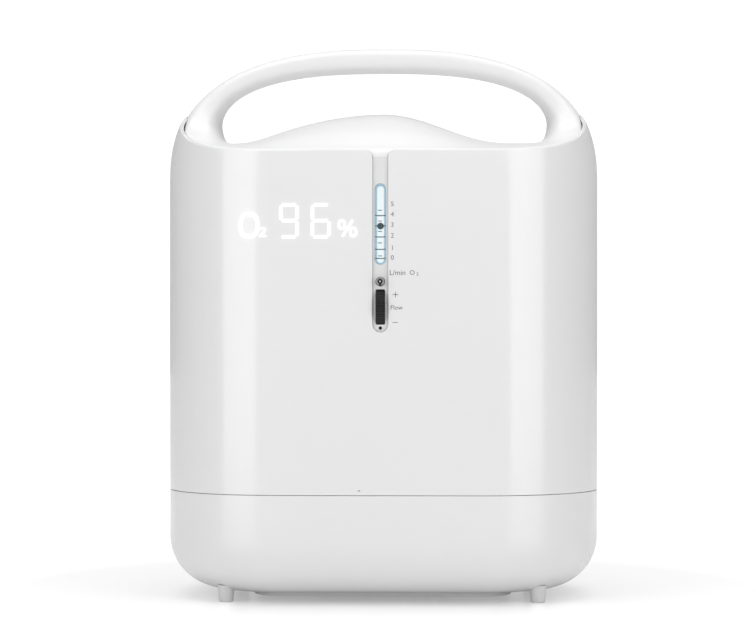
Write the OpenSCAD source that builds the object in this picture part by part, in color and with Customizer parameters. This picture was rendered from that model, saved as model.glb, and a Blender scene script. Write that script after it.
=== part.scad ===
// Home oxygen concentrator, five litres a minute.
// The frame: the origin is on the floor under the middle of the cabinet.
// The front is at -Y, the right side as seen from the front is +X, and up is +Z.
// A left-hand and a right-hand piece are named as seen from the front.

/* [Cabinet] */
// Width of the cabinet
body_w = 360; // [350:1:436]
// Depth of the cabinet
body_d = 240; // [238:1:290]
// Radius of the four upright corners, seen from above
corner_r = 100; // [84:1:112]
// Thickness of the moulded shells
wall = 3; // [2.4:0.1:3.6]
// Height of the underside over the floor
floor_gap = 8; // [7:0.5:10]
// Radius of the rounding between the sides and the underside
bottom_r = 44; // [36:1:50]
// Height of the seam between the base shell and the upper shell
seam_z = 90; // [88:1:94]
// Height where the sides start to curve in
shoulder_z = 345; // [340:1:350]
// Height of the top of the grip
total_h = 462.4; // [452:0.1:500]
// Height of the rim at the front and the rear
rim_front_z = 367; // [365:1:370]
// How much higher the rim is at the sides
rim_rise = 41; // [36:1:46]

/* [Handle and top cover] */
// Half the width of the hand opening
opening_half_w = 146; // [138:1:150]
// Height of the opening's widest place
opening_z = 385; // [383:1:388]
// Thickness of the grip at its middle
grip_t = 18.7; // [17:0.1:22]
// Half the depth of the grip
grip_half_depth = 19; // [16:0.5:22]
// Height of the cover's crest beside the hump
crest_z = 381.5; // [380:0.5:384]
// Height of the hump over the crest
hump_h = 25.5; // [18:0.5:28]

/* [Control strip] */
// Width of the upright slot in the front
slot_w = 12.4; // [12:0.1:14]
// Height of the slot's lower end
slot_z = 221.5; // [220:0.5:223]
// Height of the oxygen outlet
outlet_z = 262; // [261.5:0.1:262.6]
// Diameter of the outlet's spigot
outlet_d = 6; // [5:0.1:6.2]
// Width of the flow tube's window
window_w = 8.8; // [8:0.1:9]
// Height of the window's lower end
window_z0 = 275.7; // [275:0.1:277]
// Height of the window's upper end
window_z1 = 340.7; // [336:0.1:343]

/* [Flow control] */
// Diameter of the flow tube's bore
tube_bore_d = 6.3; // [5.9:0.1:6.4]
// Diameter of the float ball
ball_d = 5.5; // [5:0.1:5.8]
// Height of the ball at the flow that it shows
ball_z = 306.8; // [285:0.1:330]
// Diameter of the flow wheel
wheel_d = 33; // [32:0.2:33.4]
// Width of the flow wheel
wheel_w = 7; // [6:0.1:7.2]
// Height of the flow wheel's axis
wheel_z = 241.6; // [241:0.1:242]
// Diameter of the valve needle
needle_d = 6; // [5.6:0.1:7]

/* [Compressor] */
// Diameter of the motor
motor_d = 92; // [84:1:96]
// Length of the motor
motor_len = 90; // [84:1:92]
// Height of the crankshaft
shaft_z = 90; // [88:1:92]
// Diameter of the crankshaft
shaft_d = 10; // [8:0.5:12]
// Bore of the two cylinders
bore_d = 40; // [38:0.5:41]
// Stroke of the pistons
stroke = 10; // [8:0.5:10]

/* [Oxygen circuit] */
// Diameter of a sieve bed
bed_d = 72; // [60:1:74]
// Length of a sieve bed
bed_len = 150; // [120:1:152]
// Diameter of the product tank
tank_d = 60; // [50:1:64]
// Diameter of the humidifier bottle
bottle_d = 64; // [56:1:66]
// Height of the humidifier bottle without its cap
bottle_h = 88; // [76:1:90]

/* [Hidden] */
$fn = 48;
half_w = body_w / 2;
half_d = body_d / 2;
corner_steps = 8;         // straight pieces in a quarter of the plan
rim_gap = 0.3;            // between the cover and the upper shell
skirt_gap = 0.4;          // between the shell and the skirt inside it
skirt_t = 2.2;
edge_lip = 1.4;           // how far the cover's edge stands over the rim
edge_band = 35;           // how wide the rising edge of the cover is
skin_top_z = 440;         // the skin is used up to here, and the hoop goes on above it
front_y = -half_d;
rear_y = half_d;
inner_front_y = front_y + wall;

// ---------------------------------------------------------------- general shapes

// A flat shape drawn in X and Z, from y0 to y1
module along_y(y0, y1) {
    translate([0, y1, 0]) rotate([90, 0, 0]) linear_extrude(y1 - y0) children();
}

// A flat shape drawn in Y and Z, from x0 to x1
module along_x(x0, x1) {
    translate([x0, 0, 0]) rotate([90, 0, 90]) linear_extrude(x1 - x0) children();
}

// A round rod along X, Y or Z that starts at a point
module rod_x(at, length, r) { translate(at) rotate([0, 90, 0]) cylinder(h = length, r = r); }
module rod_y(at, length, r) { translate(at) rotate([-90, 0, 0]) cylinder(h = length, r = r); }
module rod_z(at, length, r) { translate(at) cylinder(h = length, r = r); }

// A box between two corners
module box(low, high) { translate(low) cube(high - low); }

// A flat rectangle with round corners between two corners
module round_rect(low, high, r) {
    translate(low + [r, r]) offset(r = r, $fn = 24) square(high - low - [2 * r, 2 * r]);
}

// ---------------------------------------------------------------- the cabinet's skin

// Half the width of the outline from the front, as a part of the full half width
function outline(u) = pow(1 - pow(max(u, 0), 2.6), 0.4);
function outline_half_w(z) = half_w * outline((z - shoulder_z) / (total_h - shoulder_z));

// The plan at an inset from the full outline
function plan(inset) =
    let (r = max(corner_r - inset, 4), cx = half_w - inset - r, cy = half_d - inset - r)
    [for (q = [0:3], k = [0:corner_steps])
        let (a = 90 * (q + k / corner_steps), sx = (q == 0 || q == 3) ? 1 : -1, sy = q < 2 ? 1 : -1)
        [sx * cx + r * cos(a), sy * cy + r * sin(a)]];

function bottom_levels(gap) =
    [for (k = [0:5]) let (a = 18 * k, r = bottom_r - gap)
        [floor_gap + gap + r * (1 - cos(a)), gap + r * (1 - sin(a))]];
top_heights = [0, 10, 22, 35, 50, 65, 80, skin_top_z - shoulder_z];
function top_levels(gap) =
    [for (h = top_heights) [shoulder_z + h, gap + half_w - outline_half_w(shoulder_z + h)]];

// The cabinet as a solid, smaller on every side by a gap
module skin(gap) {
    levels = concat(bottom_levels(gap), top_levels(gap));
    rings = [for (level = levels) [for (p = plan(level[1])) [p[0], p[1], level[0]]]];
    n = len(rings[0]);
    last = len(levels) - 1;
    sides = [for (i = [0:last - 1], k = [0:n - 1])
        let (a = i * n + k, b = i * n + (k + 1) % n) [a, a + n, b + n, b]];
    bottom = [for (k = [0:n - 1]) k];
    top = [for (k = [n - 1:-1:0]) last * n + k];
    polyhedron([for (ring = rings) for (p = ring) p], concat(sides, [bottom, top]));
}

// Eight small ramps on the inside of the wall, which hold the next shell's lip
module snap_ramps(inset, z) {
    half = 6;
    for (sx = [-1, 1], sy = [-1, 1]) {
        hull() {
            translate([sx * 66, sy * (half_d - inset), z]) cube([2 * half, 0.8, 7], center = true);
            translate([sx * 66, sy * (half_d - inset - 0.8), z + 1]) cube([2 * half, 0.8, 2], center = true);
        }
        hull() {
            translate([sx * (half_w - inset), sy * 13, z]) cube([0.8, 2 * half, 7], center = true);
            translate([sx * (half_w - inset - 0.8), sy * 13, z + 1]) cube([0.8, 2 * half, 2], center = true);
        }
    }
}

// The height of the rim over a place along Y
function rim_share(u) = 0.5 * pow(u, 1.25) + 0.5 * pow(sin(90 * u), 2);
function rim_z(y) = rim_front_z + rim_rise * rim_share(max(0, 1 - abs(y) / half_d));
rim_steps = 12;
rim_line = [for (k = [-rim_steps:rim_steps]) let (y = half_d * k / rim_steps) [y, rim_z(y)]];

// Everything under the rim, moved up by a shift
module under_rim(shift) {
    side = half_d + 10;
    along_x(-half_w - 10, half_w + 10) translate([0, shift]) polygon(concat(
        [[-side, 0], [-side, rim_front_z]], rim_line, [[side, rim_front_z], [side, 0]]));
}

// ---------------------------------------------------------------- the top cover and the handle

function hump(x) = x >= 0
    ? (x < 105 ? hump_h * pow(cos(90 * x / 105), 2) : 0)
    : (x > -120 ? hump_h * cos(90 * x / 120) * (1 - pow(-x / 120, 8)) : 0);
front_edge_z = rim_front_z + edge_lip;
function dome_z(x, y) =
    front_edge_z + (crest_z + hump(x) - front_edge_z) * (1 - pow(min(1, abs(y) / half_d), 1.8));

// How far a place is inside the outline of the plan
function inset_at(x, y) =
    let (dx = abs(x) - (half_w - corner_r), dy = abs(y) - (half_d - corner_r))
    dx > 0 && dy > 0 ? corner_r - norm([dx, dy]) : min(half_w - abs(x), half_d - abs(y));

// The cover rises to the rim in a band along its edge
function edge_share(x, y) = pow(min(1, max(0, 1 - inset_at(x, y) / edge_band)), 2);
function cover_z(x, y) = dome_z(x, y) + (rim_z(y) + edge_lip - dome_z(x, y)) * edge_share(x, y);
dome_margin = 2;
dome_x = [for (k = [-18:18]) let (t = k / 18) (half_w + dome_margin) * (1.35 * t - 0.35 * pow(t, 3))];
dome_y = [for (k = [-10:10]) let (t = k / 10) (half_d + dome_margin) * (1.35 * t - 0.35 * pow(t, 3))];

// The solid under the cover's surface, which is lowered by a drop
module dome(drop) {
    nx = len(dome_x);
    ny = len(dome_y);
    count = nx * ny;
    top = [for (x = dome_x, y = dome_y) [x, y, cover_z(x, y) - drop]];
    low = [for (x = dome_x, y = dome_y) [x, y, shoulder_z]];
    cells = [for (i = [0:nx - 2], j = [0:ny - 2]) let (a = i * ny + j, b = a + ny) [a, a + 1, b + 1, b]];
    border = concat([for (j = [0:ny - 1]) j], [for (i = [1:nx - 1]) i * ny + ny - 1],
        [for (j = [ny - 2:-1:0]) (nx - 1) * ny + j], [for (i = [nx - 2:-1:1]) i * ny]);
    edge = len(border);
    polyhedron(concat(top, low), concat(
        [for (c = cells) [c[0], c[1], c[3]]], [for (c = cells) [c[1], c[2], c[3]]],
        [for (c = cells) [c[3] + count, c[2] + count, c[1] + count, c[0] + count]],
        [for (k = [0:edge - 1]) let (a = border[k], b = border[(k + 1) % edge])
            [b, a, a + count, b + count]]));
}

// The hoop: sections from the foot of one leg over the grip to the foot of the other
leg_bottom_z = 368;
leg_steps = 3;
arch_steps = 12;
section_steps = 20;
opening_top = total_h - grip_t - opening_z;
function flare(z) = exp(-(z - 380) / 18);
function half_depth(z) = grip_half_depth + 45 * min(flare(z), 1.3);

// A section is [inner x, inner z, outer x, outer z, half depth]
function leg_section(z) =
    [opening_half_w - 10 * min(flare(z), 1), z, outline_half_w(z), z, half_depth(z)];
function arch_section(a) =
    let (f = pow(sin(a), 2 / 2.6), outer_z = opening_z + f * (total_h - opening_z),
         inner_z = opening_z + f * opening_top)
    [opening_half_w * pow(1 - pow(f, 2.6), 1 / 2.6) - 10 * flare(inner_z), inner_z,
     outline_half_w(min(outer_z, total_h)), outer_z, half_depth(outer_z)];
leg_heights = [for (k = [0:leg_steps - 1]) leg_bottom_z + (opening_z - leg_bottom_z) * k / leg_steps];
right_half = concat([for (z = leg_heights) leg_section(z)],
    [for (k = [0:arch_steps - 1]) arch_section(90 * k / arch_steps)]);
function mirrored(s) = [-s[0], s[1], -s[2], s[3], s[4]];
top_section = [0, opening_z + opening_top, 0, total_h, grip_half_depth];
sections = concat(right_half, [top_section],
    [for (k = [len(right_half) - 1:-1:0]) mirrored(right_half[k])]);

// The hoop between two depths: from is added inside at the inner face, to at the outer face
module hoop(from, to, side) {
    ring = [for (s = sections)
        let (d = [s[2] - s[0], s[3] - s[1]], t = norm(d), e = d / t,
             low = from, high = t + to, mid = (low + high) / 2, r = (high - low) / 2)
        [for (k = [0:section_steps - 1])
            let (a = 360 * k / section_steps, c = sign(cos(a)) * pow(abs(cos(a)), 0.72),
                 b = sign(sin(a)) * pow(abs(sin(a)), 0.72))
            [s[0] + e[0] * (mid + r * c), (s[4] + side) * b, s[1] + e[1] * (mid + r * c)]]];
    points = [for (r = ring) for (p = r) p];
    n = section_steps;
    last = len(sections) - 1;
    sides = [for (i = [0:last - 1], k = [0:n - 1])
        let (a = i * n + k, b = i * n + (k + 1) % n) [a, a + n, b + n, b]];
    start_cap = [for (k = [0:n - 1]) k];
    end_cap = [for (k = [n - 1:-1:0]) last * n + k];
    polyhedron(points, concat(sides, [start_cap, end_cap]));
}

module inside_skin() {
    skin(0);
    box([-half_w, -60, skin_top_z - 1], [half_w, 60, total_h + 1]);
}

module top_cover() {
    inset = wall + skirt_gap;
    color("white") difference() {
        union() {
            difference() {
                intersection() {
                    union() { dome(0); hoop(0, 0, 0); }
                    inside_skin();
                }
                difference() { under_rim(rim_gap); skin(inset); }
                intersection() { dome(wall); skin(inset + skirt_t); }
            }
            snap_ramps(inset + skirt_t, shoulder_z + 8);
        }
        difference() { hoop(-6, -inset - skirt_t, -wall); dome(-0.5); }
        box([-slot_w / 2 - 0.4, front_y - 1, shoulder_z - 1], [slot_w / 2 + 0.4, front_y + 9, rim_front_z - 1.2]);
        box([-16, front_y - 1, shoulder_z - 1], [16, front_y + 9, strip_top_z - 4]);
    }
}

module handle_liner() {
    color("white") difference() {
        intersection() {
            hoop(0, 0, 0);
            hoop(-6, -wall - skirt_gap - skirt_t - 0.3, -wall - 0.3);
        }
        hoop(2.5, 8, 8);
        dome(-rim_gap);
        box([-half_w - 1, -half_d, leg_bottom_z - 1], [half_w + 1, half_d, opening_z + 8]);
    }
}

// ---------------------------------------------------------------- the shells

foot_x = 128 * body_w / 360;
foot_y = 75 * body_d / 240;
foot_h = 14;
foot_r = 7;
boss_top_z = 26;
foot_places = [for (sx = [-1, 1], sy = [-1, 1]) [sx * foot_x, sy * foot_y]];
screw_r = 2;
rear_half_w = 95;
rear_z0 = 105;
rear_z1 = 335;
inlet_x = 50;
switch_x = -40;
panel_z = 70;
exhaust_slots = [-50:12.5:50];

// An upright ring that follows the plan between two insets
module plan_ring(outer, inner, z0, z1) {
    translate([0, 0, z0]) linear_extrude(z1 - z0) difference() {
        polygon(plan(outer));
        polygon(plan(inner));
    }
}

// Two ribs from each foot's boss along the floor
module floor_ribs() {
    rib_top = boss_top_z - 1;
    for (sx = [-1, 1], sy = [-1, 1]) {
        hull() {
            box([sx * foot_x - 2, sy * foot_y - 1, foot_h + 4], [sx * foot_x + 2, sy * foot_y + 1, rib_top]);
            box([sx * (foot_x - 40) - 2, sy * foot_y - 1, foot_h - 4], [sx * (foot_x - 40) + 2, sy * foot_y + 1, foot_h]);
        }
        hull() {
            box([sx * foot_x - 1, sy * foot_y - 2, foot_h + 4], [sx * foot_x + 1, sy * foot_y + 2, rib_top]);
            box([sx * foot_x - 1, sy * (foot_y - 40) - 2, foot_h - 4], [sx * foot_x + 1, sy * (foot_y - 40) + 2, foot_h]);
        }
    }
}

module base_shell() {
    lip_inset = wall + 2.4;
    color("white") difference() {
        union() {
            intersection() {
                difference() { skin(0); skin(wall); }
                box([-half_w - 1, -half_d - 1, 0], [half_w + 1, half_d + 1, seam_z]);
            }
            for (p = foot_places) rod_z([p[0], p[1], foot_h], boss_top_z - foot_h, foot_r + 3);
            plan_ring(wall - 0.5, lip_inset, seam_z - 8, seam_z);
            floor_ribs();
            plan_ring(wall + 0.15, lip_inset, seam_z - 1, seam_z + 6);
        }
        for (p = foot_places) rod_z([p[0], p[1], -1], foot_h + 1, foot_r + 0.8);
        for (p = foot_places) rod_z([p[0], p[1], 0], 60, screw_r + 0.4);
        for (x = exhaust_slots) box([x - 3, -40, 0], [x + 3, 40, 20]);
        box([inlet_x - 14.2, rear_y - 10, panel_z - 10.3], [inlet_x + 14.2, rear_y + 1, panel_z + 10.3]);
        box([switch_x - 9.2, rear_y - 10, panel_z - 12.2], [switch_x + 9.2, rear_y + 1, panel_z + 12.2]);
    }
}

module upper_shell() {
    color("white") difference() {
        union() {
            difference() {
                intersection() { skin(0); under_rim(0); }
                skin(wall);
            }
            snap_ramps(wall, seam_z + 11);
        }
        box([-half_w - 1, -half_d - 1, 0], [half_w + 1, half_d + 1, seam_z + 0.3]);
        along_y(front_y - 1, front_y + 20) union() {
            translate([0, slot_z + slot_w / 2]) circle(d = slot_w, $fn = 24);
            translate([-slot_w / 2, slot_z + slot_w / 2]) square([slot_w, 200]);
        }
        along_y(rear_y - 60, rear_y + 1)
            round_rect([-rear_half_w, rear_z0], [rear_half_w, rear_z1], 12);
    }
}

// ---------------------------------------------------------------- the rear cover and its doors

grille_half_w = 75;
grille_z0 = 120;
grille_z1 = 212;
door_x0 = -80;
door_x1 = -12;
door_z0 = 240;
door_z1 = 318;
hinge_x = door_x0 + 2;
hinge_y = rear_y - 1.2;
hinge_r = 1.2;
door_t = 2.6;
pocket_depth = 24;
bay_x = 44;
bay_w = 74;
bay_z0 = 230;
bay_z1 = 330;
screw_places = [for (x = [-87, 87], z = [114, 326]) [x, z]];

module rear_cover() {
    fit = 0.3;
    pocket_y = rear_y - pocket_depth;
    color("white") difference() {
        union() {
            intersection() {
                translate([0, 0, rear_z0]) linear_extrude(rear_z1 - rear_z0) difference() {
                    polygon(plan(0));
                    polygon(plan(wall));
                }
                along_y(rear_y - 60, rear_y + 1)
                    round_rect([-rear_half_w + fit, rear_z0 + fit], [rear_half_w - fit, rear_z1 - fit], 12);
            }
            box([door_x0 - 3, pocket_y, door_z0 - 3], [door_x1 + 3, rear_y - wall + 0.5, door_z1 + 3]);
            box([-grille_half_w - 2, rear_y - 14, grille_z0 - 2],
                [grille_half_w + 2, rear_y - wall + 0.5, grille_z1 + 2]);
            for (p = screw_places) rod_y([p[0], rear_y - 16, p[1]], 12, 4.5);
        }
        box([door_x0 - 0.5, pocket_y + 2, door_z0 - 0.5], [door_x1 + 0.5, rear_y + 1, door_z1 + 0.5]);
        box([door_x0 + 8, pocket_y - 1, door_z0 + 8], [door_x1 - 8, rear_y + 1, door_z1 - 8]);
        box([-grille_half_w, rear_y - 12, grille_z0], [grille_half_w, rear_y + 1, grille_z1]);
        box([-grille_half_w + 8, rear_y - 20, grille_z0 + 8], [grille_half_w - 8, rear_y, grille_z1 - 8]);
        box([bay_x - bay_w / 2 - 0.3, rear_y - 20, bay_z0 - 0.3],
            [bay_x + bay_w / 2 + 0.3, rear_y + 1, bay_z1 + 0.3]);
        rod_z([hinge_x, hinge_y, door_z0 - 3], door_z1 - door_z0 + 6, hinge_r + 0.04);
        for (p = screw_places) {
            rod_y([p[0], rear_y - 20, p[1]], 30, screw_r + 0.2);
            rod_y([p[0], rear_y - 8, p[1]], 10, 4.2);
        }
    }
}

module cover_screws() {
    color("silver") for (p = screw_places) difference() {
        union() {
            rod_y([p[0], rear_y - 22, p[1]], 15, screw_r);
            rod_y([p[0], rear_y - 8, p[1]], 2.4, 3.8);
        }
        for (a = [0, 90]) translate([p[0], rear_y - 5.6, p[1]]) rotate([0, a, 0]) cube([4.4, 2, 0.9], center = true);
    }
}

module filter_door() {
    color("white") difference() {
        union() {
            box([door_x0, rear_y - door_t, door_z0], [door_x1, rear_y, door_z1]);
            rod_z([hinge_x, hinge_y, door_z0 - 2.6], door_z1 - door_z0 + 5.2, hinge_r);
            box([door_x1 - 12, rear_y - 0.5, door_z0 + 32], [door_x1 - 4, rear_y + 1.6, door_z1 - 32]);
        }
        for (k = [0:8])
            box([door_x0 + 12, rear_y - 5, door_z0 + 12 + 6.4 * k], [door_x1 - 16, rear_y + 3, door_z0 + 15 + 6.4 * k]);
    }
}

module hepa_filter() {
    y0 = rear_y - pocket_depth + 2.2;
    y1 = rear_y - door_t - 1.4;
    pleats = 11;
    step = (door_z1 - door_z0 - 12) / pleats;
    color("gainsboro") union() {
        difference() {
            box([door_x0 + 4.6, y0, door_z0 + 1], [door_x1 - 1, y1, door_z1 - 1]);
            box([door_x0 + 9, y0 - 1, door_z0 + 6], [door_x1 - 6, y1 + 1, door_z1 - 6]);
        }
        along_x(door_x0 + 8.6, door_x1 - 5.6) polygon(concat(
            [for (k = [0:2 * pleats]) [k % 2 == 0 ? y1 - 1.5 : y0 + 4, door_z0 + 6 + step * k / 2]],
            [for (k = [2 * pleats:-1:0]) [k % 2 == 0 ? y1 - 4 : y0 + 1.5, door_z0 + 6 + step * k / 2]]));
    }
}

module cabinet_grille() {
    low = [-grille_half_w + 0.5, grille_z0 + 0.5];
    high = [grille_half_w - 0.5, grille_z1 - 0.5];
    bars = 11;
    step = (grille_z1 - grille_z0 - 14) / bars;
    color("white") difference() {
        union() {
            along_y(rear_y - 1.5, rear_y + 1.5) round_rect(low, high, 5);
            along_y(rear_y - 11.5, rear_y - 1) difference() {
                round_rect(low + [1, 1], high - [1, 1], 4);
                round_rect(low + [3, 3], high - [3, 3], 3);
            }
        }
        for (k = [0:bars - 1])
            box([-grille_half_w + 9, rear_y - 3, grille_z0 + 8 + step * k],
                [grille_half_w - 9, rear_y + 3, grille_z0 + 8 + step * (k + 0.55)]);
        box([-14, rear_y + 0.3, grille_z0 + 2], [14, rear_y + 3, grille_z0 + 6]);
    }
}

module cabinet_filter() {
    color("dimgray") box([-grille_half_w + 5, rear_y - 11, grille_z0 + 5],
        [grille_half_w - 5, rear_y - 1.8, grille_z1 - 5]);
}

// ---------------------------------------------------------------- the humidifier

bottle_y = rear_y - 50;
bay_floor = 2.5;

module humidifier_bay() {
    color("white") difference() {
        union() {
            along_y(rear_y - 88, rear_y - 1)
                round_rect([bay_x - bay_w / 2, bay_z0], [bay_x + bay_w / 2, bay_z1], 3);
        }
        along_y(rear_y - 85.5, rear_y + 1)
            round_rect([bay_x - bay_w / 2 + bay_floor, bay_z0 + bay_floor],
                [bay_x + bay_w / 2 - bay_floor, bay_z1 - bay_floor], 3);
        rod_y([bay_x, rear_y - 90, bay_z1 - 12], 8, 3.05);
    }
}

module humidifier_bottle() {
    at = [bay_x, bottle_y, bay_z0 + bay_floor + 0.3];
    color("lightskyblue") difference() {
        union() {
            rod_z(at, bottle_h - 16, bottle_d / 2);
            translate(at + [0, 0, bottle_h - 16]) cylinder(h = 6, r1 = bottle_d / 2, r2 = 22);
            rod_z(at + [0, 0, bottle_h - 10], 6, 20);
        }
        rod_z(at + [0, 0, 2], bottle_h - 18, bottle_d / 2 - 2);
        rod_z(at + [0, 0, bottle_h - 20], 30, 17.5);
    }
}

module humidifier_cap() {
    at = [bay_x, bottle_y, bay_z0 + bay_floor + 0.3 + bottle_h - 8];
    color("royalblue") difference() {
        union() {
            rod_z(at, 10, 23);
            rod_z(at + [0, 0, -60], 68, 2.4);
            for (a = [0:15:345]) translate(at) rotate(a) translate([22.6, -1, 0]) cube([1, 2, 9]);
        }
        difference() { rod_z(at + [0, 0, -1], 9, 20.3); rod_z(at + [0, 0, -1], 9, 2.4); }
        rod_z(at + [0, 0, -61], 75, 1.2);
    }
}

// ---------------------------------------------------------------- the front: strip, flow meter, outlet

strip_y = front_y + 2.2;                // the face that one sees in the slot
flange_y = front_y + wall + 0.1;
flange_back_y = flange_y + 2.4;
strip_top_z = rim_front_z - 5;
tube_y = front_y + 7;
block_back_y = front_y + 15.6;
bore_z0 = window_z0 + 1.5;
bore_z1 = window_z1 - 2.5;
wheel_y = front_y + 12.1;
hub_r = 4.5;
ear_x0 = wheel_w / 2 + 0.5;
ear_x1 = ear_x0 + 2.5;
valve_x0 = ear_x1 + 0.2;
stem_side = 3.6;
needle_r = needle_d / 2;
port_r = 1.2;

module control_strip() {
    color("whitesmoke") difference() {
        union() {
            along_y(strip_y, flange_y + 0.2) union() {
                translate([0, slot_z + slot_w / 2]) circle(d = slot_w - 0.4);
                translate([-slot_w / 2 + 0.2, slot_z + slot_w / 2])
                    square([slot_w - 0.4, strip_top_z - slot_z - slot_w / 2]);
            }
            along_y(flange_y, flange_back_y) round_rect([-14, slot_z - 9], [14, strip_top_z - 6], 2);
        }
        along_y(front_y, front_y + 10)
            round_rect([-window_w / 2 - 0.2, window_z0 - 0.2], [window_w / 2 + 0.2, window_z1 + 0.2], window_w / 2);
        along_y(front_y, front_y + 10)
            round_rect([-wheel_w / 2 - 0.4, wheel_z - 14.2], [wheel_w / 2 + 0.4, wheel_z + 14.2], 1.2);
        box([-wheel_w / 2 - 0.4, flange_y + 0.3, wheel_z - 16], [wheel_w / 2 + 0.4, front_y + 10, wheel_z + 16]);
        rod_y([0, front_y - 1, outlet_z], 12, 2.95);
        rod_y([0, front_y - 1, slot_z + 3.2], 12, 1.4);
    }
}

module flow_tube() {
    color("lightcyan") difference() {
        union() {
            along_y(strip_y - 0.1, flange_back_y + 0.2)
                round_rect([-window_w / 2, window_z0], [window_w / 2, window_z1], window_w / 2 - 0.01);
            box([-9, flange_back_y + 0.1, window_z0 - 5], [9, block_back_y, window_z1 + 5]);
        }
        rod_z([0, tube_y, bore_z0], bore_z1 - bore_z0, tube_bore_d / 2);
        for (z = [bore_z0 + 0.9, bore_z1 - 0.9]) {
            rod_y([0, tube_y, z], 12, 0.8);
            rod_y([0, block_back_y - 3, z], 4, 2);
        }
    }
}

module float_ball() {
    color("black") translate([0, tube_y, ball_z]) sphere(d = ball_d);
}

module tube_barbs() {
    color("goldenrod") for (z = [bore_z0 + 0.9, bore_z1 - 0.9]) difference() {
        union() {
            rod_y([0, block_back_y - 2.9, z], 4, 1.98);
            rod_y([0, block_back_y + 0.1, z], 1.5, 3.5);
            rod_y([0, block_back_y + 1.5, z], 8, 1.6);
            for (k = [0:2]) translate([0, block_back_y + 3.6 + 2 * k, z]) rotate([-90, 0, 0])
                cylinder(h = 1.6, r1 = 2.2, r2 = 1.6);
        }
        rod_y([0, block_back_y - 4, z], 20, 0.9);
    }
}

module flow_wheel() {
    teeth = 48;
    color("black") translate([0, wheel_y, wheel_z]) difference() {
        union() {
            along_x(-wheel_w / 2, wheel_w / 2) polygon(
                [for (k = [0:4 * teeth - 1]) let (a = 90 * k / teeth, r = wheel_d / 2 - (k % 4 < 2 ? 0 : 0.7))
                    [r * cos(a), r * sin(a)]]);
            rod_x([-ear_x1, 0, 0], 2 * ear_x1, hub_r);
        }
        cube([3 * wheel_w, stem_side + 0.3, stem_side + 0.3], center = true);
    }
}

module wheel_bracket() {
    back_y = wheel_y + wheel_d / 2 + 2;
    color("dimgray") difference() {
        union() {
            for (s = [-1, 1])
                box([s > 0 ? ear_x0 : -ear_x1, flange_back_y, wheel_z - 8], [s > 0 ? ear_x1 : -ear_x0, back_y + 3, wheel_z + 8]);
            box([-ear_x1, back_y, wheel_z - 12], [ear_x1, back_y + 3, wheel_z + 12]);
        }
        rod_x([-20, wheel_y, wheel_z], 40, hub_r + 0.05);
    }
}

module valve_body() {
    at = [valve_x0, wheel_y, wheel_z];
    seat = 18;
    color("goldenrod") difference() {
        union() {
            rod_x(at, 2, 6.4);
            rod_x(at + [1, 0, 0], 23, 5.8);
            rod_x(at + [23, 0, 0], 9, 2.2);
            rod_y(at + [13, 0, 0], 15, 2.2);
        }
        rod_x(at - [1, 0, 0], seat, needle_r + 0.05);
        rod_x(at + [seat - 2, 0, 0], 30, port_r);
        rod_y(at + [13, 0, 0], 20, port_r);
    }
}

module valve_needle() {
    at = [valve_x0 + 0.4, wheel_y, wheel_z];
    color("silver") union() {
        translate([-ear_x1 + 1, wheel_y - stem_side / 2, wheel_z - stem_side / 2])
            cube([ear_x1 + valve_x0, stem_side, stem_side]);
        rod_x(at + [0, 0, 0], 12.4, needle_r);
        translate(at + [12.4, 0, 0]) rotate([0, 90, 0]) cylinder(h = 4, r1 = 2.8, r2 = 0.8);
    }
}

module outlet_nozzle() {
    color("silver") difference() {
        union() {
            rod_y([0, front_y - 5.5, outlet_z], 7.7, outlet_d / 2);
            translate([0, front_y - 7, outlet_z]) rotate([-90, 0, 0])
                cylinder(h = 1.5, r1 = outlet_d / 2 - 0.8, r2 = outlet_d / 2);
            rod_y([0, strip_y - 0.9, outlet_z], 0.9, 3.95);
            rod_y([0, strip_y - 0.2, outlet_z], 13, 2.9);
            rod_y([0, strip_y + 12, outlet_z], 9, 2);
        }
        rod_y([0, front_y - 10, outlet_z], 50, 1.25);
    }
}

board_y = front_y + 17;

// The bars of one figure: a seven-segment figure, from the top bar round to the middle bar
module figure(x, z, w, h, bars) {
    s = 3;
    y1 = board_y - 0.2;
    y0 = front_y + 4.2;
    if (bars[0]) box([x + s, y0, z + h - s], [x + w - s, y1, z + h]);
    if (bars[1]) box([x + w - s, y0, z + h / 2 + 1], [x + w, y1, z + h - 1]);
    if (bars[2]) box([x + w - s, y0, z + 1], [x + w, y1, z + h / 2 - 1]);
    if (bars[3]) box([x + s, y0, z], [x + w - s, y1, z + s]);
    if (bars[4]) box([x, y0, z + 1], [x + s, y1, z + h / 2 - 1]);
    if (bars[5]) box([x, y0, z + h / 2 + 1], [x + s, y1, z + h - 1]);
    if (bars[6]) box([x + s, y0, z + h / 2 - s / 2], [x + w - s, y1, z + h / 2 + s / 2]);
}

module display_segments() {
    letter_y = front_y + 11.5;
    depth = board_y - 0.2 - letter_y;
    color("white") union() {
        figure(-82, 296.3, 15.6, 28.7, [true, true, true, true, false, true, true]);
        figure(-56.8, 296.3, 17.1, 28.7, [true, false, true, true, true, true, true]);
        difference() {
            rod_y([-106, letter_y, 307.3], depth, 10);
            rod_y([-106, letter_y - 1, 307.3], depth + 2, 7);
        }
        rod_y([-94.8, letter_y, 301], depth, 3);
        for (p = [[-31, 308], [-21, 300]]) rod_y([p[0], front_y + 4.2, p[1]], 12.6, 3);
        along_y(front_y + 4.2, board_y - 0.2)
            polygon([[-33, 297], [-30.4, 297], [-19, 311], [-21.6, 311]]);
    }
}

module display_board() {
    color("darkgreen") union() {
        box([-122, board_y, 286], [-16, board_y + 1.6, 336]);
        for (x = [-110:22:-44]) box([x, board_y + 1.5, 290], [x + 12, board_y + 5, 298]);
        box([-60, board_y + 1.5, 322], [-30, board_y + 10, 330]);
    }
}

// ---------------------------------------------------------------- the underside

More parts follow.
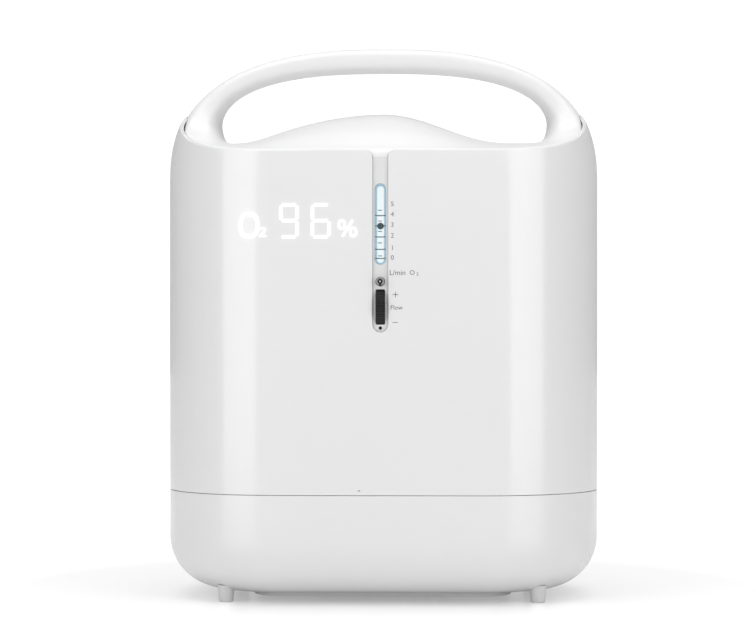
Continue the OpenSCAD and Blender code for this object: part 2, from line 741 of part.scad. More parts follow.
module underside_plate() {
    color("gainsboro") difference() {
        translate([0, 0, 4.5]) linear_extrude(floor_gap - 4.5)
            round_rect([-107, -min(75, half_d - 45)], [107, min(75, half_d - 45)], 28);
        for (x = exhaust_slots) box([x - 2.4, -38, 0], [x + 2.4, 38, 20]);
    }
}

module feet() {
    color("white") for (p = foot_places) difference() {
        translate([p[0], p[1], 0]) cylinder(h = foot_h, r1 = foot_r - 1, r2 = foot_r);
        rod_z([p[0], p[1], -1], 30, screw_r + 0.3);
        rod_z([p[0], p[1], -1], 6, 4.2);
    }
}

module foot_screws() {
    color("silver") for (p = foot_places) difference() {
        union() {
            rod_z([p[0], p[1], 2.6], 2.4, 3.8);
            rod_z([p[0], p[1], 4.9], 30, screw_r);
        }
        for (a = [0, 90]) translate([p[0], p[1], 2.8]) rotate(a) cube([4.4, 0.9, 2], center = true);
    }
}

tray_z = boss_top_z + 0.2;

module base_tray() {
    color("silver") difference() {
        translate([0, 0, tray_z]) linear_extrude(1.6) polygon(plan(34));
        for (p = foot_places) rod_z([p[0], p[1], 20], 20, screw_r + 0.3);
        for (x = exhaust_slots) box([x - 3, -40, 20], [x + 3, 0, 30]);
    }
}

// ---------------------------------------------------------------- the compressor

comp_y = 5;
case_w = 49;
case_x0 = motor_len / 2 + 0.5;
case_x1 = case_x0 + case_w;
crank_x = case_x0 + case_w / 2;
case_half = 29;
case_z0 = shaft_z - 34;
case_z1 = shaft_z + 30;
cyl_z1 = case_z1 + 24;
throw = stroke / 2;
pin_r = 9;
ring_r = pin_r + throw + stroke / 2 + 0.6;
bearing_r = 8.5;
cradle_z = 40;
mount_places = [for (sx = [-1, 1], sy = [-1, 1]) [sx * 95, comp_y + sy * 42]];

module both_sides() {
    for (s = [0, 1]) mirror([s, 0, 0]) children();
}

module compressor_cradle() {
    color("silver") difference() {
        union() {
            box([-105, comp_y - 50, cradle_z], [105, comp_y + 50, cradle_z + 2]);
            both_sides() box([24, comp_y - 30, cradle_z], [28, comp_y + 30, cradle_z + 16]);
            both_sides() box([case_x0 + 4, comp_y - 14, cradle_z], [case_x1 - 4, comp_y + 14, case_z0]);
        }
        rod_x([-60, comp_y, shaft_z], 120, motor_d / 2);
        for (p = mount_places) rod_z([p[0], p[1], 30], 20, 3.2);
    }
}

module rubber_mounts() {
    low = tray_z + 1.6;
    high = cradle_z;
    color("black") for (p = mount_places) translate([p[0], p[1], low]) union() {
        cylinder(h = 4, r = 9);
        cylinder(h = high - low, r = 6);
        translate([0, 0, high - low - 4]) cylinder(h = 4, r = 9);
        cylinder(h = high - low + 6, r = 3.1);
        translate([0, 0, high - low + 2.1]) cylinder(h = 3, r1 = 5, r2 = 3.1);
    }
}

module motor_housing() {
    r = motor_d / 2;
    h = motor_len / 2;
    color("silver") translate([0, comp_y, shaft_z]) difference() {
        union() {
            rod_x([-h, 0, 0], motor_len, r - 4);
            for (k = [0:5]) rod_x([-h + 4 + k * (motor_len - 14) / 5, 0, 0], 6, r);
        }
        rod_x([-h + 4, 0, 0], motor_len - 8, 26);
        rod_x([-h - 1, 0, 0], motor_len + 2, shaft_d / 2 + 2);
    }
}

module motor_rotor() {
    color("slategray") translate([0, comp_y, shaft_z]) difference() {
        rod_x([-30, 0, 0], 60, 25.4);
        rod_x([-31, 0, 0], 62, shaft_d / 2);
    }
}

module crank_shaft() {
    color("slategray") translate([0, comp_y, shaft_z]) union() {
        rod_x([-112, 0, 0], 224, shaft_d / 2);
        rod_x([crank_x - 4, 0, throw], 8, pin_r);
        rod_x([-crank_x - 4, 0, -throw], 8, pin_r);
    }
}

module shaft_bearings() {
    color("silver") both_sides() for (x = [case_x0, case_x1 - 4]) translate([0, comp_y, shaft_z]) difference() {
        rod_x([x, 0, 0], 4, bearing_r);
        rod_x([x - 1, 0, 0], 6, shaft_d / 2 + 0.03);
    }
}

module crankcases() {
    color("gray") both_sides() translate([0, comp_y, 0]) difference() {
        box([case_x0, -case_half, case_z0], [case_x1, case_half, case_z1]);
        box([case_x0 + 4, -case_half + 4, case_z0 + 4], [case_x1 - 4, case_half - 4, case_z1 + 1]);
        rod_x([case_x0 - 1, 0, shaft_z], case_w + 2, bearing_r);
    }
}

// One piston with its rod, round an opened crank eye
module piston() {
    z = case_z1 + 13;
    color("lightgray") translate([crank_x, comp_y, 0]) difference() {
        union() {
            rod_x([-3.5, 0, shaft_z], 7, ring_r + 3.6);
            rod_z([0, 0, shaft_z + ring_r + 2], z - shaft_z - ring_r, 4);
            rod_z([0, 0, z - 3], 6, bore_d / 2 - 0.05);
        }
        rod_x([-10, 0, shaft_z], 20, ring_r);
    }
}

module piston_right() { piston(); }
module piston_left() { mirror([1, 0, 0]) piston(); }

module cylinders() {
    r = bore_d / 2;
    color("silver") both_sides() translate([crank_x, comp_y, case_z1]) difference() {
        union() {
            translate([-case_w / 2, -case_half, 0]) cube([case_w, 2 * case_half, 4]);
            rod_z([0, 0, 0], cyl_z1 - case_z1, r + 3);
            for (k = [0:2]) rod_z([0, 0, 8 + 5 * k], 2, r + 4.4);
        }
        rod_z([0, 0, -1], 40, r);
    }
}

module cylinder_heads() {
    color("gray") both_sides() translate([crank_x, comp_y, cyl_z1]) union() {
        translate([-26, -26, 0]) cube([52, 52, 5]);
        for (k = [-2:2]) translate([10 * k - 1, -26, 4]) cube([2, 52, 9]);
        rod_y([0, -38, 7.5], 14, 3);
    }
}

module shaft_fans() {
    color("dimgray") both_sides() translate([0, comp_y, shaft_z]) difference() {
        union() {
            rod_x([98, 0, 0], 12, 9);
            for (a = [0:60:300]) rotate([a, 0, 0]) translate([104, 0, 19]) rotate([0, 0, 28])
                cube([2, 16, 26], center = true);
        }
        rod_x([97, 0, 0], 20, shaft_d / 2);
    }
}

// ---------------------------------------------------------------- the upper deck and the oxygen circuit

deck_z = 168;
deck_t = 2.5;
deck_top = deck_z + deck_t;
pillar_places = [for (sx = [-1, 1], sy = [-1, 1]) [sx * (half_w - 38), sy * 28]];
fan_x = 78;
fan_y = 22;
fan_half = 46;
bed_z0 = deck_top + 18;
bed_places = [[-(half_w - 62), 38], [-38, 48]];
tank_at = [-90, -46];
block_low = [-42, -78, deck_top];
block_high = [14, -50, deck_top + 20];
plunger_places = [-28, 0];
plunger_y = -64;

module upper_deck() {
    color("silver") difference() {
        translate([0, 0, deck_z]) linear_extrude(deck_t) polygon(plan(wall + 5));
        rod_z([fan_x, fan_y, deck_z - 1], 10, fan_half - 3);
        box([-rear_half_w - 4, rear_y - 30, deck_z - 1], [rear_half_w + 4, rear_y, deck_top + 1]);
        for (p = pillar_places) rod_z([p[0], p[1], deck_z - 1], 10, 2.4);
    }
}

module deck_pillars() {
    low = tray_z + 1.6;
    color("silver") for (p = pillar_places) union() {
        rod_z([p[0], p[1], low], deck_z - low, 5);
        rod_z([p[0], p[1], deck_z - 0.5], deck_t, 2.2);
    }
}

module sieve_bed(place) {
    color("white") translate([place[0], place[1], bed_z0]) union() {
        cylinder(h = bed_len, d = bed_d - 2);
        for (z = [0, bed_len - 12]) translate([0, 0, z]) cylinder(h = 12, d = bed_d);
        translate([0, 0, bed_len - 0.5]) cylinder(h = 8, r = 5);
    }
}

module sieve_bed_left() { sieve_bed(bed_places[0]); }
module sieve_bed_right() { sieve_bed(bed_places[1]); }

module bed_manifold() {
    low = deck_top;
    color("gray") union() {
        difference() {
            translate([0, 0, low]) linear_extrude(18) union() {
                for (p = bed_places) translate(p) circle(d = bed_d - 6);
                translate([bed_places[0][0], 24]) square([bed_places[1][0] - bed_places[0][0], 36]);
            }
            for (p = bed_places) rod_z([p[0], p[1], low + 14], 10, 12);
        }
    }
}

module product_tank() {
    h = 130;
    color("whitesmoke") translate([tank_at[0], tank_at[1], deck_top]) union() {
        cylinder(h = 6, r = tank_d / 2 - 6);
        translate([0, 0, 5]) cylinder(h = h, d = tank_d);
        translate([0, 0, h + 5]) cylinder(h = 5, r1 = tank_d / 2, r2 = tank_d / 2 - 6);
        translate([0, 0, h + 9]) cylinder(h = 8, r = 4);
    }
}

module valve_block() {
    top = block_high[2];
    color("silver") difference() {
        union() {
            box(block_low, block_high);
            for (x = plunger_places) rod_z([x, plunger_y, top - 0.5], 30.5, 11);
            for (x = [-35, -14, 7]) rod_y([x, block_high[1] - 0.5, deck_top + 10], 10, 3);
        }
        for (x = plunger_places) rod_z([x, plunger_y, top - 14], 34, 5.05);
    }
}

module valve_plunger(x) {
    color("gray") translate([x, plunger_y, block_high[2] - 11]) union() {
        cylinder(h = 24, r = 5);
        translate([0, 0, -1.5]) cylinder(h = 2, r = 3.5);
    }
}

module valve_plunger_left() { valve_plunger(plunger_places[0]); }
module valve_plunger_right() { valve_plunger(plunger_places[1]); }

module pressure_regulator() {
    at = [44, -62, deck_top];
    color("goldenrod") union() {
        translate(at + [-12, -12, 0]) cube([24, 24, 20]);
        rod_z(at + [0, 0, 19.5], 14, 11);
        rod_z(at + [0, 0, 33], 8, 6);
        rod_x(at + [-22, 0, 10], 44, 2.5);
    }
}

module heat_exchanger() {
    z = deck_top + 32;
    rows = 6;
    pitch = 13;
    r = 3;
    span = 32;
    color("peru") translate([fan_x, fan_y, z]) union() {
        for (k = [0:rows - 1]) {
            y = pitch * (k - (rows - 1) / 2);
            rod_x([-span, y, 0], 2 * span, r);
            if (k < rows - 1) translate([k % 2 == 0 ? span : -span, y + pitch / 2, 0])
                rotate(k % 2 == 0 ? -90 : 90) rotate_extrude(angle = 180) translate([pitch / 2, 0]) circle(r = r);
        }
    }
}

module fan_frame() {
    color("dimgray") translate([fan_x, fan_y, deck_top]) union() {
        linear_extrude(25) difference() {
            round_rect([-fan_half, -fan_half], [fan_half, fan_half], 5);
            circle(r = fan_half - 3);
            for (sx = [-1, 1], sy = [-1, 1]) translate([sx * 41, sy * 41]) circle(r = 2.2);
        }
        linear_extrude(3) difference() {
            union() {
                circle(r = 19);
                for (a = [45:90:315]) rotate(a) translate([0, -2.5]) square([fan_half - 2, 5]);
            }
            circle(r = 3.03);
        }
    }
}

module fan_rotor() {
    blades = 7;
    color("black") translate([fan_x, fan_y, deck_top]) union() {
        translate([0, 0, 0.2]) cylinder(h = 6, r = 3);
        translate([0, 0, 4]) cylinder(h = 19, r = 19);
        for (a = [0:blades - 1]) rotate(360 * a / blades) translate([29.5, 0, 13.5]) rotate([40, 0, 0])
            cube([22, 19, 1.6], center = true);
    }
}

// ---------------------------------------------------------------- the electrics

board_x = half_w - 30;

module control_board() {
    color("darkgreen") union() {
        box([board_x, -52, 200], [board_x + 1.6, 52, 320]);
        for (y = [-40, -12, 16]) box([board_x - 14, y, 292], [board_x + 0.5, y + 20, 310]);
        for (y = [-38, -14]) rod_x([board_x - 24, y, 240], 24.5, 9);
        box([board_x - 6, 8, 215], [board_x + 0.5, 40, 247]);
        box([board_x - 9, -42, 258], [board_x + 0.5, -8, 276]);
        box([board_x, -10, deck_top], [board_x + 1.6, 10, 200.5]);
    }
}

module power_supply() {
    low = [92, -84, deck_top];
    color("silver") difference() {
        box(low, low + [52, 46, 52]);
        for (k = [0:5]) box(low + [6 + 7 * k, -1, 8], low + [9 + 7 * k, 60, 44]);
        box(low + [3, 3, 3], low + [49, 43, 49]);
    }
}

module capacitor() {
    color("whitesmoke") union() {
        rod_z([124, -52, tray_z + 1.6], 62, 17);
        for (s = [-1, 1]) rod_z([124 + 5 * s, -52, tray_z + 63], 8, 1.5);
    }
}

module power_inlet() {
    color("black") difference() {
        union() {
            box([inlet_x - 14, rear_y - 26, panel_z - 10], [inlet_x + 14, rear_y + 0.5, panel_z + 10]);
            along_y(rear_y, rear_y + 2.5) round_rect([inlet_x - 25, panel_z - 12], [inlet_x + 25, panel_z + 12], 4);
        }
        box([inlet_x - 12, rear_y - 14, panel_z - 8], [inlet_x + 12, rear_y + 4, panel_z + 8]);
        for (s = [-1, 1]) rod_y([inlet_x + 20 * s, rear_y - 1, panel_z], 6, 1.8);
    }
    color("silver") for (x = [-7, 0, 7])
        box([inlet_x + x - 1, rear_y - 14.5, panel_z - 2 + (x == 0 ? 2.5 : -1)],
            [inlet_x + x + 1, rear_y - 1, panel_z + 2 + (x == 0 ? 2.5 : -1)]);
}

rocker_y = rear_y - 3;
rocker_half = 9.6;
rocker_tilt = 8;

module switch_frame() {
    color("black") difference() {
        union() {
            box([switch_x - 9, rear_y - 18, panel_z - 12], [switch_x + 9, rear_y + 0.5, panel_z + 12]);
            along_y(rear_y, rear_y + 1.8) round_rect([switch_x - 11, panel_z - 14], [switch_x + 11, panel_z + 14], 2);
        }
        box([switch_x - 7.2, rear_y - 14, panel_z - 10.6], [switch_x + 7.2, rear_y + 4, panel_z + 10.6]);
        rod_x([switch_x - 8.6, rocker_y, panel_z], 17.2, 1.55);
    }
}

module power_rocker() {
    color("seagreen") translate([switch_x, rocker_y, panel_z]) rotate([rocker_tilt, 0, 0]) union() {
        along_x(-6.9, 6.9) polygon([[-4, -4], [1.2, -rocker_half], [4.2, -rocker_half], [3.2, 0],
            [4.2, rocker_half], [1.2, rocker_half], [-4, 4]]);
        rod_x([-8.4, 0, 0], 16.8, 1.5);
    }
}

// ---------------------------------------------------------------- hoses and wires

// A hose through a list of points
module hose(points, r) {
    for (i = [0:len(points) - 2]) hull() {
        translate(points[i]) sphere(r = r, $fn = 12);
        translate(points[i + 1]) sphere(r = r, $fn = 12);
    }
}

module hoses() {
    head_z = cyl_z1 + 7.5;
    tank_z = deck_top + 150;
    line_r = 3.2;
    tube_r = 2.6;
    pipe_z = deck_top + 10;
    barb_end_y = block_back_y + 9.5 + tube_r;
    valve_port_x = valve_x0 + 13;
    color("azure") union() {
        hose([[crank_x, -37, head_z], [crank_x, -52, head_z], [20, -60, head_z],
              [-20, -60, head_z], [-crank_x, -52, head_z], [-crank_x, -37, head_z]], line_r);
        hose([[tank_at[0], tank_at[1], tank_z], [tank_at[0] + 6, tank_at[1], tank_z + 8],
              [-50, -60, tank_z + 8], [-30, -82, 300], [-24, -84, 224], [18, -88, 200],
              [18.2, -84, 190], [18.6, -62, pipe_z]], line_r);
        hose([[69, -62, pipe_z], [75, -70, 190], [60, -84, 215], [34, -84, 232],
              [valve_port_x, wheel_y + 15 + tube_r, wheel_z]], tube_r);
        hose([[valve_x0 + 32 + tube_r, wheel_y, wheel_z], [46, -100, 250], [30, -88, 270],
              [0, barb_end_y, bore_z0 + 0.9]], tube_r);
        hose([[0, barb_end_y, bore_z1 - 0.9], [14, -84, 330], [20, -82, 300], [12, -84, 268],
              [0, strip_y + 21 + tube_r, outlet_z]], tube_r);
    }
}

base_shell();
upper_shell();
top_cover();
handle_liner();
rear_cover();
cover_screws();
control_strip();
flow_tube();
float_ball();
tube_barbs();
flow_wheel();
wheel_bracket();
valve_body();
valve_needle();
outlet_nozzle();
display_board();
display_segments();
underside_plate();
feet();
foot_screws();
base_tray();
compressor_cradle();
rubber_mounts();
motor_housing();
motor_rotor();
crank_shaft();
shaft_bearings();
crankcases();
piston_left();
piston_right();
cylinders();
cylinder_heads();
shaft_fans();
upper_deck();
deck_pillars();
sieve_bed_left();
sieve_bed_right();
bed_manifold();
product_tank();
valve_block();
valve_plunger_left();
valve_plunger_right();
pressure_regulator();
heat_exchanger();
fan_frame();
fan_rotor();
control_board();
power_supply();
capacitor();
power_inlet();
switch_frame();
power_rocker();
filter_door();
hepa_filter();
cabinet_grille();
cabinet_filter();
humidifier_bay();
humidifier_bottle();
humidifier_cap();
hoses();
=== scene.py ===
"""Oxygen concentrator: the finished cabinet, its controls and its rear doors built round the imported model."""
from __future__ import annotations

import logging
import math
from dataclasses import dataclass, field
from enum import Enum
from typing import Callable, Iterable, Sequence

import bpy
from bpy.types import Material, Mesh, Node, NodeTree, Object
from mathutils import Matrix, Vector

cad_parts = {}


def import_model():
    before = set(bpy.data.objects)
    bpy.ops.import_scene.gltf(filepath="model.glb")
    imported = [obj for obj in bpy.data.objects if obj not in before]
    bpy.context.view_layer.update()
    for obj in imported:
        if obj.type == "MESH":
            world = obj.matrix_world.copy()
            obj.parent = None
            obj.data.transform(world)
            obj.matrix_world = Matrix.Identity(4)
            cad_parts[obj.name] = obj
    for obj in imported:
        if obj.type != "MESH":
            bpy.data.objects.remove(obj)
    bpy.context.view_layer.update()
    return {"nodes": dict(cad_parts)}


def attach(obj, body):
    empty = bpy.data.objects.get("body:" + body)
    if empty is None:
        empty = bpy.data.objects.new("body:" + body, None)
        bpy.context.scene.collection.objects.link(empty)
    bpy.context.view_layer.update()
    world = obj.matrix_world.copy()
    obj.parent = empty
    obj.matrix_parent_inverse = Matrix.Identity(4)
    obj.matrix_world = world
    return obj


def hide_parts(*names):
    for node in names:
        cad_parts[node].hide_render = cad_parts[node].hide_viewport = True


LOG = logging.getLogger("concentrator")
MM = 0.001
Point = tuple[float, float, float]
Flat = tuple[float, float]
Colour = tuple[float, float, float]


# ------------------------------------------------------------------ mesh tools


def deselect() -> None:
    """Leaves nothing selected and nothing active."""
    bpy.ops.object.select_all(action="DESELECT")
    bpy.context.view_layer.objects.active = None


def only(obj: Object) -> Object:
    """Selects one object and makes it the active one."""
    deselect()
    obj.select_set(True)
    bpy.context.view_layer.objects.active = obj
    return obj


def enter(obj: Object, mode: str = "FACE") -> None:
    """Opens an object in edit mode, with its stored selection.

    Args:
        obj: the object to open.
        mode: VERT, EDGE or FACE.
    """
    only(obj)
    bpy.ops.object.mode_set(mode="EDIT")
    bpy.ops.mesh.select_mode(type=mode)


def leave() -> None:
    """Goes back to object mode."""
    bpy.ops.object.mode_set(mode="OBJECT")


def mark(obj: Object, faces: Callable[..., bool] | None = None, edges: Callable[..., bool] | None = None,
         points: Callable[..., bool] | None = None) -> int:
    """Selects the faces, edges or vertices of a mesh that pass a test.

    Args:
        obj: the object, in object mode.
        faces: a test of a polygon.
        edges: a test of an edge.
        points: a test of a vertex.

    Returns:
        How many were selected.
    """
    data: Mesh = obj.data
    for group in (data.vertices, data.edges, data.polygons):
        group.foreach_set("select", [False] * len(group))
    count = 0
    for group, test in ((data.vertices, points), (data.edges, edges), (data.polygons, faces)):
        for item in group if test else ():
            if test(item):
                item.select = True
                count += 1
    return count


def weld(obj: Object, distance: float = 0.002, outward: bool = True) -> Object:
    """Merges vertices that lie together and turns the faces outward.

    Args:
        obj: the object.
        distance: the greatest distance merged, in mm.
        outward: also recalculate the normals.

    Returns:
        The same object.
    """
    enter(obj, "VERT")
    bpy.ops.mesh.select_all(action="SELECT")
    bpy.ops.mesh.remove_doubles(threshold=distance * MM)
    if outward:
        bpy.ops.mesh.normals_make_consistent(inside=False)
    leave()
    return obj


def finish_with(obj: Object, kind: str, **settings: object) -> Object:
    """Adds a modifier, sets it and applies it.

    Args:
        obj: the object.
        kind: the modifier's type.
        settings: the modifier's properties.

    Returns:
        The same object.
    """
    only(obj)
    modifier = obj.modifiers.new(kind.title(), kind)
    for key, value in settings.items():
        setattr(modifier, key, value)
    bpy.ops.object.modifier_apply(modifier=modifier.name)
    return obj


def smooth(obj: Object, angle: float = 32.0) -> Object:
    """Shades an object smooth, apart from edges sharper than an angle in degrees."""
    only(obj)
    bpy.ops.object.shade_smooth_by_angle(angle=math.radians(angle))
    return obj


def rounded(obj: Object, width: float, angle: float = 38.0, segments: int = 2) -> Object:
    """Rounds the sharp edges of an object and keeps its large faces shading flat.

    Args:
        obj: the object.
        width: the width of the rounding in mm.
        angle: edges sharper than this many degrees are rounded.
        segments: the number of steps in the rounding.

    Returns:
        The same object.
    """
    finish_with(obj, "BEVEL", width=width * MM, segments=segments, limit_method="ANGLE",
                angle_limit=math.radians(angle), miter_outer="MITER_ARC", harden_normals=False)
    smooth(obj, angle)
    return finish_with(obj, "WEIGHTED_NORMAL", keep_sharp=True, weight=60)


def named(obj: Object, name: str) -> Object:
    """Gives an object and its mesh a name."""
    obj.name = obj.data.name = name
    return obj


def settle(obj: Object) -> Object:
    """Puts an object's place into its mesh, so that the object sits at the origin."""
    only(obj)
    bpy.ops.object.transform_apply(location=True, rotation=True, scale=True)
    return obj


def wrapped(name: str, columns: int, rows: int, place: Callable[[int, int], Point]) -> Object:
    """Adds a grid and lays each of its vertices on a surface.

    Args:
        name: the object's name.
        columns: faces along the first direction.
        rows: faces along the second direction.
        place: gives the point in mm for a column and a row.

    Returns:
        The new object, with a merged seam.
    """
    deselect()
    bpy.ops.mesh.primitive_grid_add(x_subdivisions=columns, y_subdivisions=rows, size=2)
    obj = named(bpy.context.active_object, name)
    for vertex in obj.data.vertices:
        i = round((vertex.co.x + 1) / 2 * columns)
        j = round((vertex.co.y + 1) / 2 * rows)
        vertex.co = Vector(place(i, j)) * MM
    return weld(obj, outward=False)


def plate(name: str, outline: Sequence[Flat], y0: float, y1: float) -> Object:
    """Makes an upright plate from an outline, drawn out along Y.

    Args:
        name: the object's name.
        outline: points (x, z) in mm.
        y0: the front face's place.
        y1: the back face's place.

    Returns:
        The new closed object.
    """
    deselect()
    bpy.ops.mesh.primitive_circle_add(vertices=len(outline), fill_type="NGON")
    obj = named(bpy.context.active_object, name)
    for vertex, (x, z) in zip(obj.data.vertices, outline):
        vertex.co = Vector((x, y0, z)) * MM
    enter(obj)
    bpy.ops.mesh.select_all(action="SELECT")
    bpy.ops.mesh.extrude_region_move(TRANSFORM_OT_translate={"value": (0, (y1 - y0) * MM, 0)})
    bpy.ops.mesh.select_all(action="SELECT")
    bpy.ops.mesh.normals_make_consistent(inside=False)
    leave()
    return obj


def turned(name: str, profile: Sequence[Flat], centre: Point, along: str = "Y", steps: int = 48) -> Object:
    """Turns a closed profile round an axis.

    Args:
        name: the object's name.
        profile: points (radius, place along the axis) in mm.
        centre: a point on the axis; its coordinate along the axis is added to the places.
        along: the axis, Y or Z.
        steps: the number of steps in a full turn.

    Returns:
        The new closed object.
    """
    deselect()
    bpy.ops.mesh.primitive_circle_add(vertices=len(profile), fill_type="NOTHING")
    obj = named(bpy.context.active_object, name)
    axis = Vector((0, 1, 0)) if along == "Y" else Vector((0, 0, 1))
    for vertex, (radius, place) in zip(obj.data.vertices, profile):
        vertex.co = (Vector(centre) + axis * place + Vector((radius, 0, 0))) * MM
    enter(obj, "EDGE")
    bpy.ops.mesh.select_all(action="SELECT")
    bpy.ops.mesh.spin(steps=steps, angle=math.tau, center=Vector(centre) * MM, axis=axis)
    leave()
    return weld(obj)


def capsule(half: float, low: float, high: float, steps: int = 12) -> list[Flat]:
    """An upright outline with round ends: half its width, and its lowest and highest place in mm."""
    top = [(half * math.cos(math.pi * k / steps), high - half + half * math.sin(math.pi * k / steps))
           for k in range(steps + 1)]
    return top + [(-x, low + high - z) for x, z in top]


def box_outline(x0: float, x1: float, z0: float, z1: float, radius: float, steps: int = 6) -> list[Flat]:
    """A rectangle with round corners, in mm, as points (x, z)."""
    points = []
    for corner, (cx, cz) in enumerate(((x1, z1), (x0, z1), (x0, z0), (x1, z0))):
        mx = cx - math.copysign(radius, cx - (x0 + x1) / 2)
        mz = cz - math.copysign(radius, cz - (z0 + z1) / 2)
        for k in range(steps + 1):
            angle = math.pi / 2 * (corner + k / steps)
            points.append((mx + radius * math.cos(angle), mz + radius * math.sin(angle)))
    return points


def cut(obj: Object, *tools: Object) -> Object:
    """Cuts solids out of an object.

    Args:
        obj: the object that is cut.
        tools: the solids; they are removed afterwards.

    Returns:
        The same object.
    """
    for tool in tools:
        finish_with(obj, "BOOLEAN", operation="DIFFERENCE", solver="EXACT", object=tool)
        bpy.data.objects.remove(tool)
    return obj


def joined(name: str, *parts: Object) -> Object:
    """Joins objects into one with a new name."""
    deselect()
    for part in parts:
        part.select_set(True)
    bpy.context.view_layer.objects.active = parts[0]
    bpy.ops.object.join()
    return named(parts[0], name)


def copy_of(obj: Object, name: str, shift: Point) -> Object:
    """Copies an object with its own mesh.

    Args:
        obj: the object that is copied.
        name: the copy's name.
        shift: how far the copy is moved, in mm.

    Returns:
        The copy.
    """
    twin = obj.copy()
    twin.data = obj.data.copy()
    bpy.context.scene.collection.objects.link(twin)
    for vertex in twin.data.vertices:
        vertex.co += Vector(shift) * MM
    return named(twin, name)


# ------------------------------------------------------------------ finishes


class Look(Enum):
    """The kinds of surface that a finish can have."""

    SMOOTH = "smooth moulded"
    SATIN = "fine satin grain"
    BRUSHED = "drawn lines"
    CAST = "cast skin"
    FOAM = "open cells"
    PAPER = "fibres"
    BOARD = "board tracks"


@dataclass(frozen=True)
class Finish:
    """A surface finish that is worked out from a place on the object.

    The colour drifts a little over centimetres, the roughness over millimetres, and a fine relief is added.
    """

    name: str
    colour: Colour
    roughness: float = 0.35
    metallic: float = 0.0
    look: Look = Look.SMOOTH
    drift: float = 0.03
    grain: float = 1600.0
    relief: float = 0.02
    coat: float = 0.0
    specular: float = 0.5
    transmission: float = 0.0
    ior: float = 1.46
    subsurface: float = 0.0
    alpha: float = 1.0
    uneven: float = 0.14

    def material(self) -> Material:
        """Builds the material, or gives the one already built."""
        title = f"{self.name}_finish"
        if title in bpy.data.materials:
            return bpy.data.materials[title]
        made = bpy.data.materials.new(title)
        made.use_nodes = True
        tree = made.node_tree
        shader = tree.nodes["Principled BSDF"]
        for socket, value in (("Metallic", self.metallic), ("Coat Weight", self.coat), ("IOR", self.ior),
                              ("Specular IOR Level", self.specular), ("Transmission Weight", self.transmission),
                              ("Coat Roughness", 0.12), ("Alpha", self.alpha)):
            shader.inputs[socket].default_value = value
        if self.subsurface:
            shader.inputs["Subsurface Weight"].default_value = self.subsurface
            shader.inputs["Subsurface Radius"].default_value = (0.004, 0.004, 0.0036)
            shader.inputs["Subsurface Scale"].default_value = 1.0
        place = tree.nodes.new("ShaderNodeTexCoord").outputs["Object"]
        self.paint(tree, shader, place)
        return made

    def paint(self, tree: NodeTree, shader: Node, place: object) -> None:
        """Adds colour, roughness and relief to the shader.

        Args:
            tree: the material's nodes.
            shader: its main shader.
            place: the socket that gives the place on the object.
        """
        slow = noise(tree, place, 9.0, 2.0)
        light = tuple(min(1.0, c * (1 + self.drift)) for c in self.colour)
        dark = tuple(c * (1 - self.drift) for c in self.colour)
        tree.links.new(blend(tree, slow, dark, light), shader.inputs["Base Color"])
        rough = spread(tree, noise(tree, place, 140.0, 3.0), self.roughness * (1 - self.uneven),
                       min(1.0, self.roughness * (1 + self.uneven)))
        tree.links.new(rough, shader.inputs["Roughness"])
        tree.links.new(self.height(tree, place), shader.inputs["Normal"])

    def height(self, tree: NodeTree, place: object) -> object:
        """Adds the fine relief for this kind of surface and gives the normal socket."""
        if self.look is Look.BRUSHED:
            mapping = tree.nodes.new("ShaderNodeMapping")
            mapping.inputs["Scale"].default_value = (1.0, 1.0, 0.04)
            tree.links.new(place, mapping.inputs["Vector"])
            field_ = noise(tree, mapping.outputs["Vector"], self.grain, 3.0)
        elif self.look is Look.FOAM:
            cells = tree.nodes.new("ShaderNodeTexVoronoi")
            cells.inputs["Scale"].default_value = self.grain
            tree.links.new(place, cells.inputs["Vector"])
            field_ = cells.outputs["Distance"]
        elif self.look is Look.BOARD:
            bricks = tree.nodes.new("ShaderNodeTexBrick")
            bricks.inputs["Scale"].default_value = self.grain
            tree.links.new(place, bricks.inputs["Vector"])
            field_ = bricks.outputs["Fac"]
        else:
            field_ = noise(tree, place, self.grain, 4.0 if self.look is Look.CAST else 2.0)
        bump = tree.nodes.new("ShaderNodeBump")
        bump.inputs["Strength"].default_value = min(1.0, self.relief * 10)
        bump.inputs["Distance"].default_value = self.relief * MM
        tree.links.new(field_, bump.inputs["Height"])
        return bump.outputs["Normal"]

    def dress(self, obj: Object) -> Object:
        """Puts the finish on an object's material slots."""
        made = self.material()
        if not obj.data.materials:
            obj.data.materials.append(made)
        for k in range(len(obj.data.materials)):
            obj.data.materials[k] = made
        return obj


def noise(tree: NodeTree, place: object, scale: float, detail: float) -> object:
    """Adds a noise at a scale per metre and gives its value socket."""
    node = tree.nodes.new("ShaderNodeTexNoise")
    node.inputs["Scale"].default_value = scale
    node.inputs["Detail"].default_value = detail
    tree.links.new(place, node.inputs["Vector"])
    return node.outputs["Fac"]


def blend(tree: NodeTree, share: object, low: Colour, high: Colour) -> object:
    """Adds a ramp between two colours over the middle of a value and gives its colour socket."""
    ramp = tree.nodes.new("ShaderNodeValToRGB")
    ramp.color_ramp.elements[0].position, ramp.color_ramp.elements[1].position = 0.3, 0.7
    ramp.color_ramp.elements[0].color = (*low, 1)
    ramp.color_ramp.elements[1].color = (*high, 1)
    tree.links.new(share, ramp.inputs["Fac"])
    return ramp.outputs["Color"]


def spread(tree: NodeTree, value: object, low: float, high: float, start: float = 0.25,
           end: float = 0.75) -> object:
    """Adds a node that spreads a value over a range and gives its socket."""
    node = tree.nodes.new("ShaderNodeMapRange")
    for key, number in (("From Min", start), ("From Max", end), ("To Min", low), ("To Max", high)):
        node.inputs[key].default_value = number
    tree.links.new(value, node.inputs["Value"])
    return node.outputs["Result"]


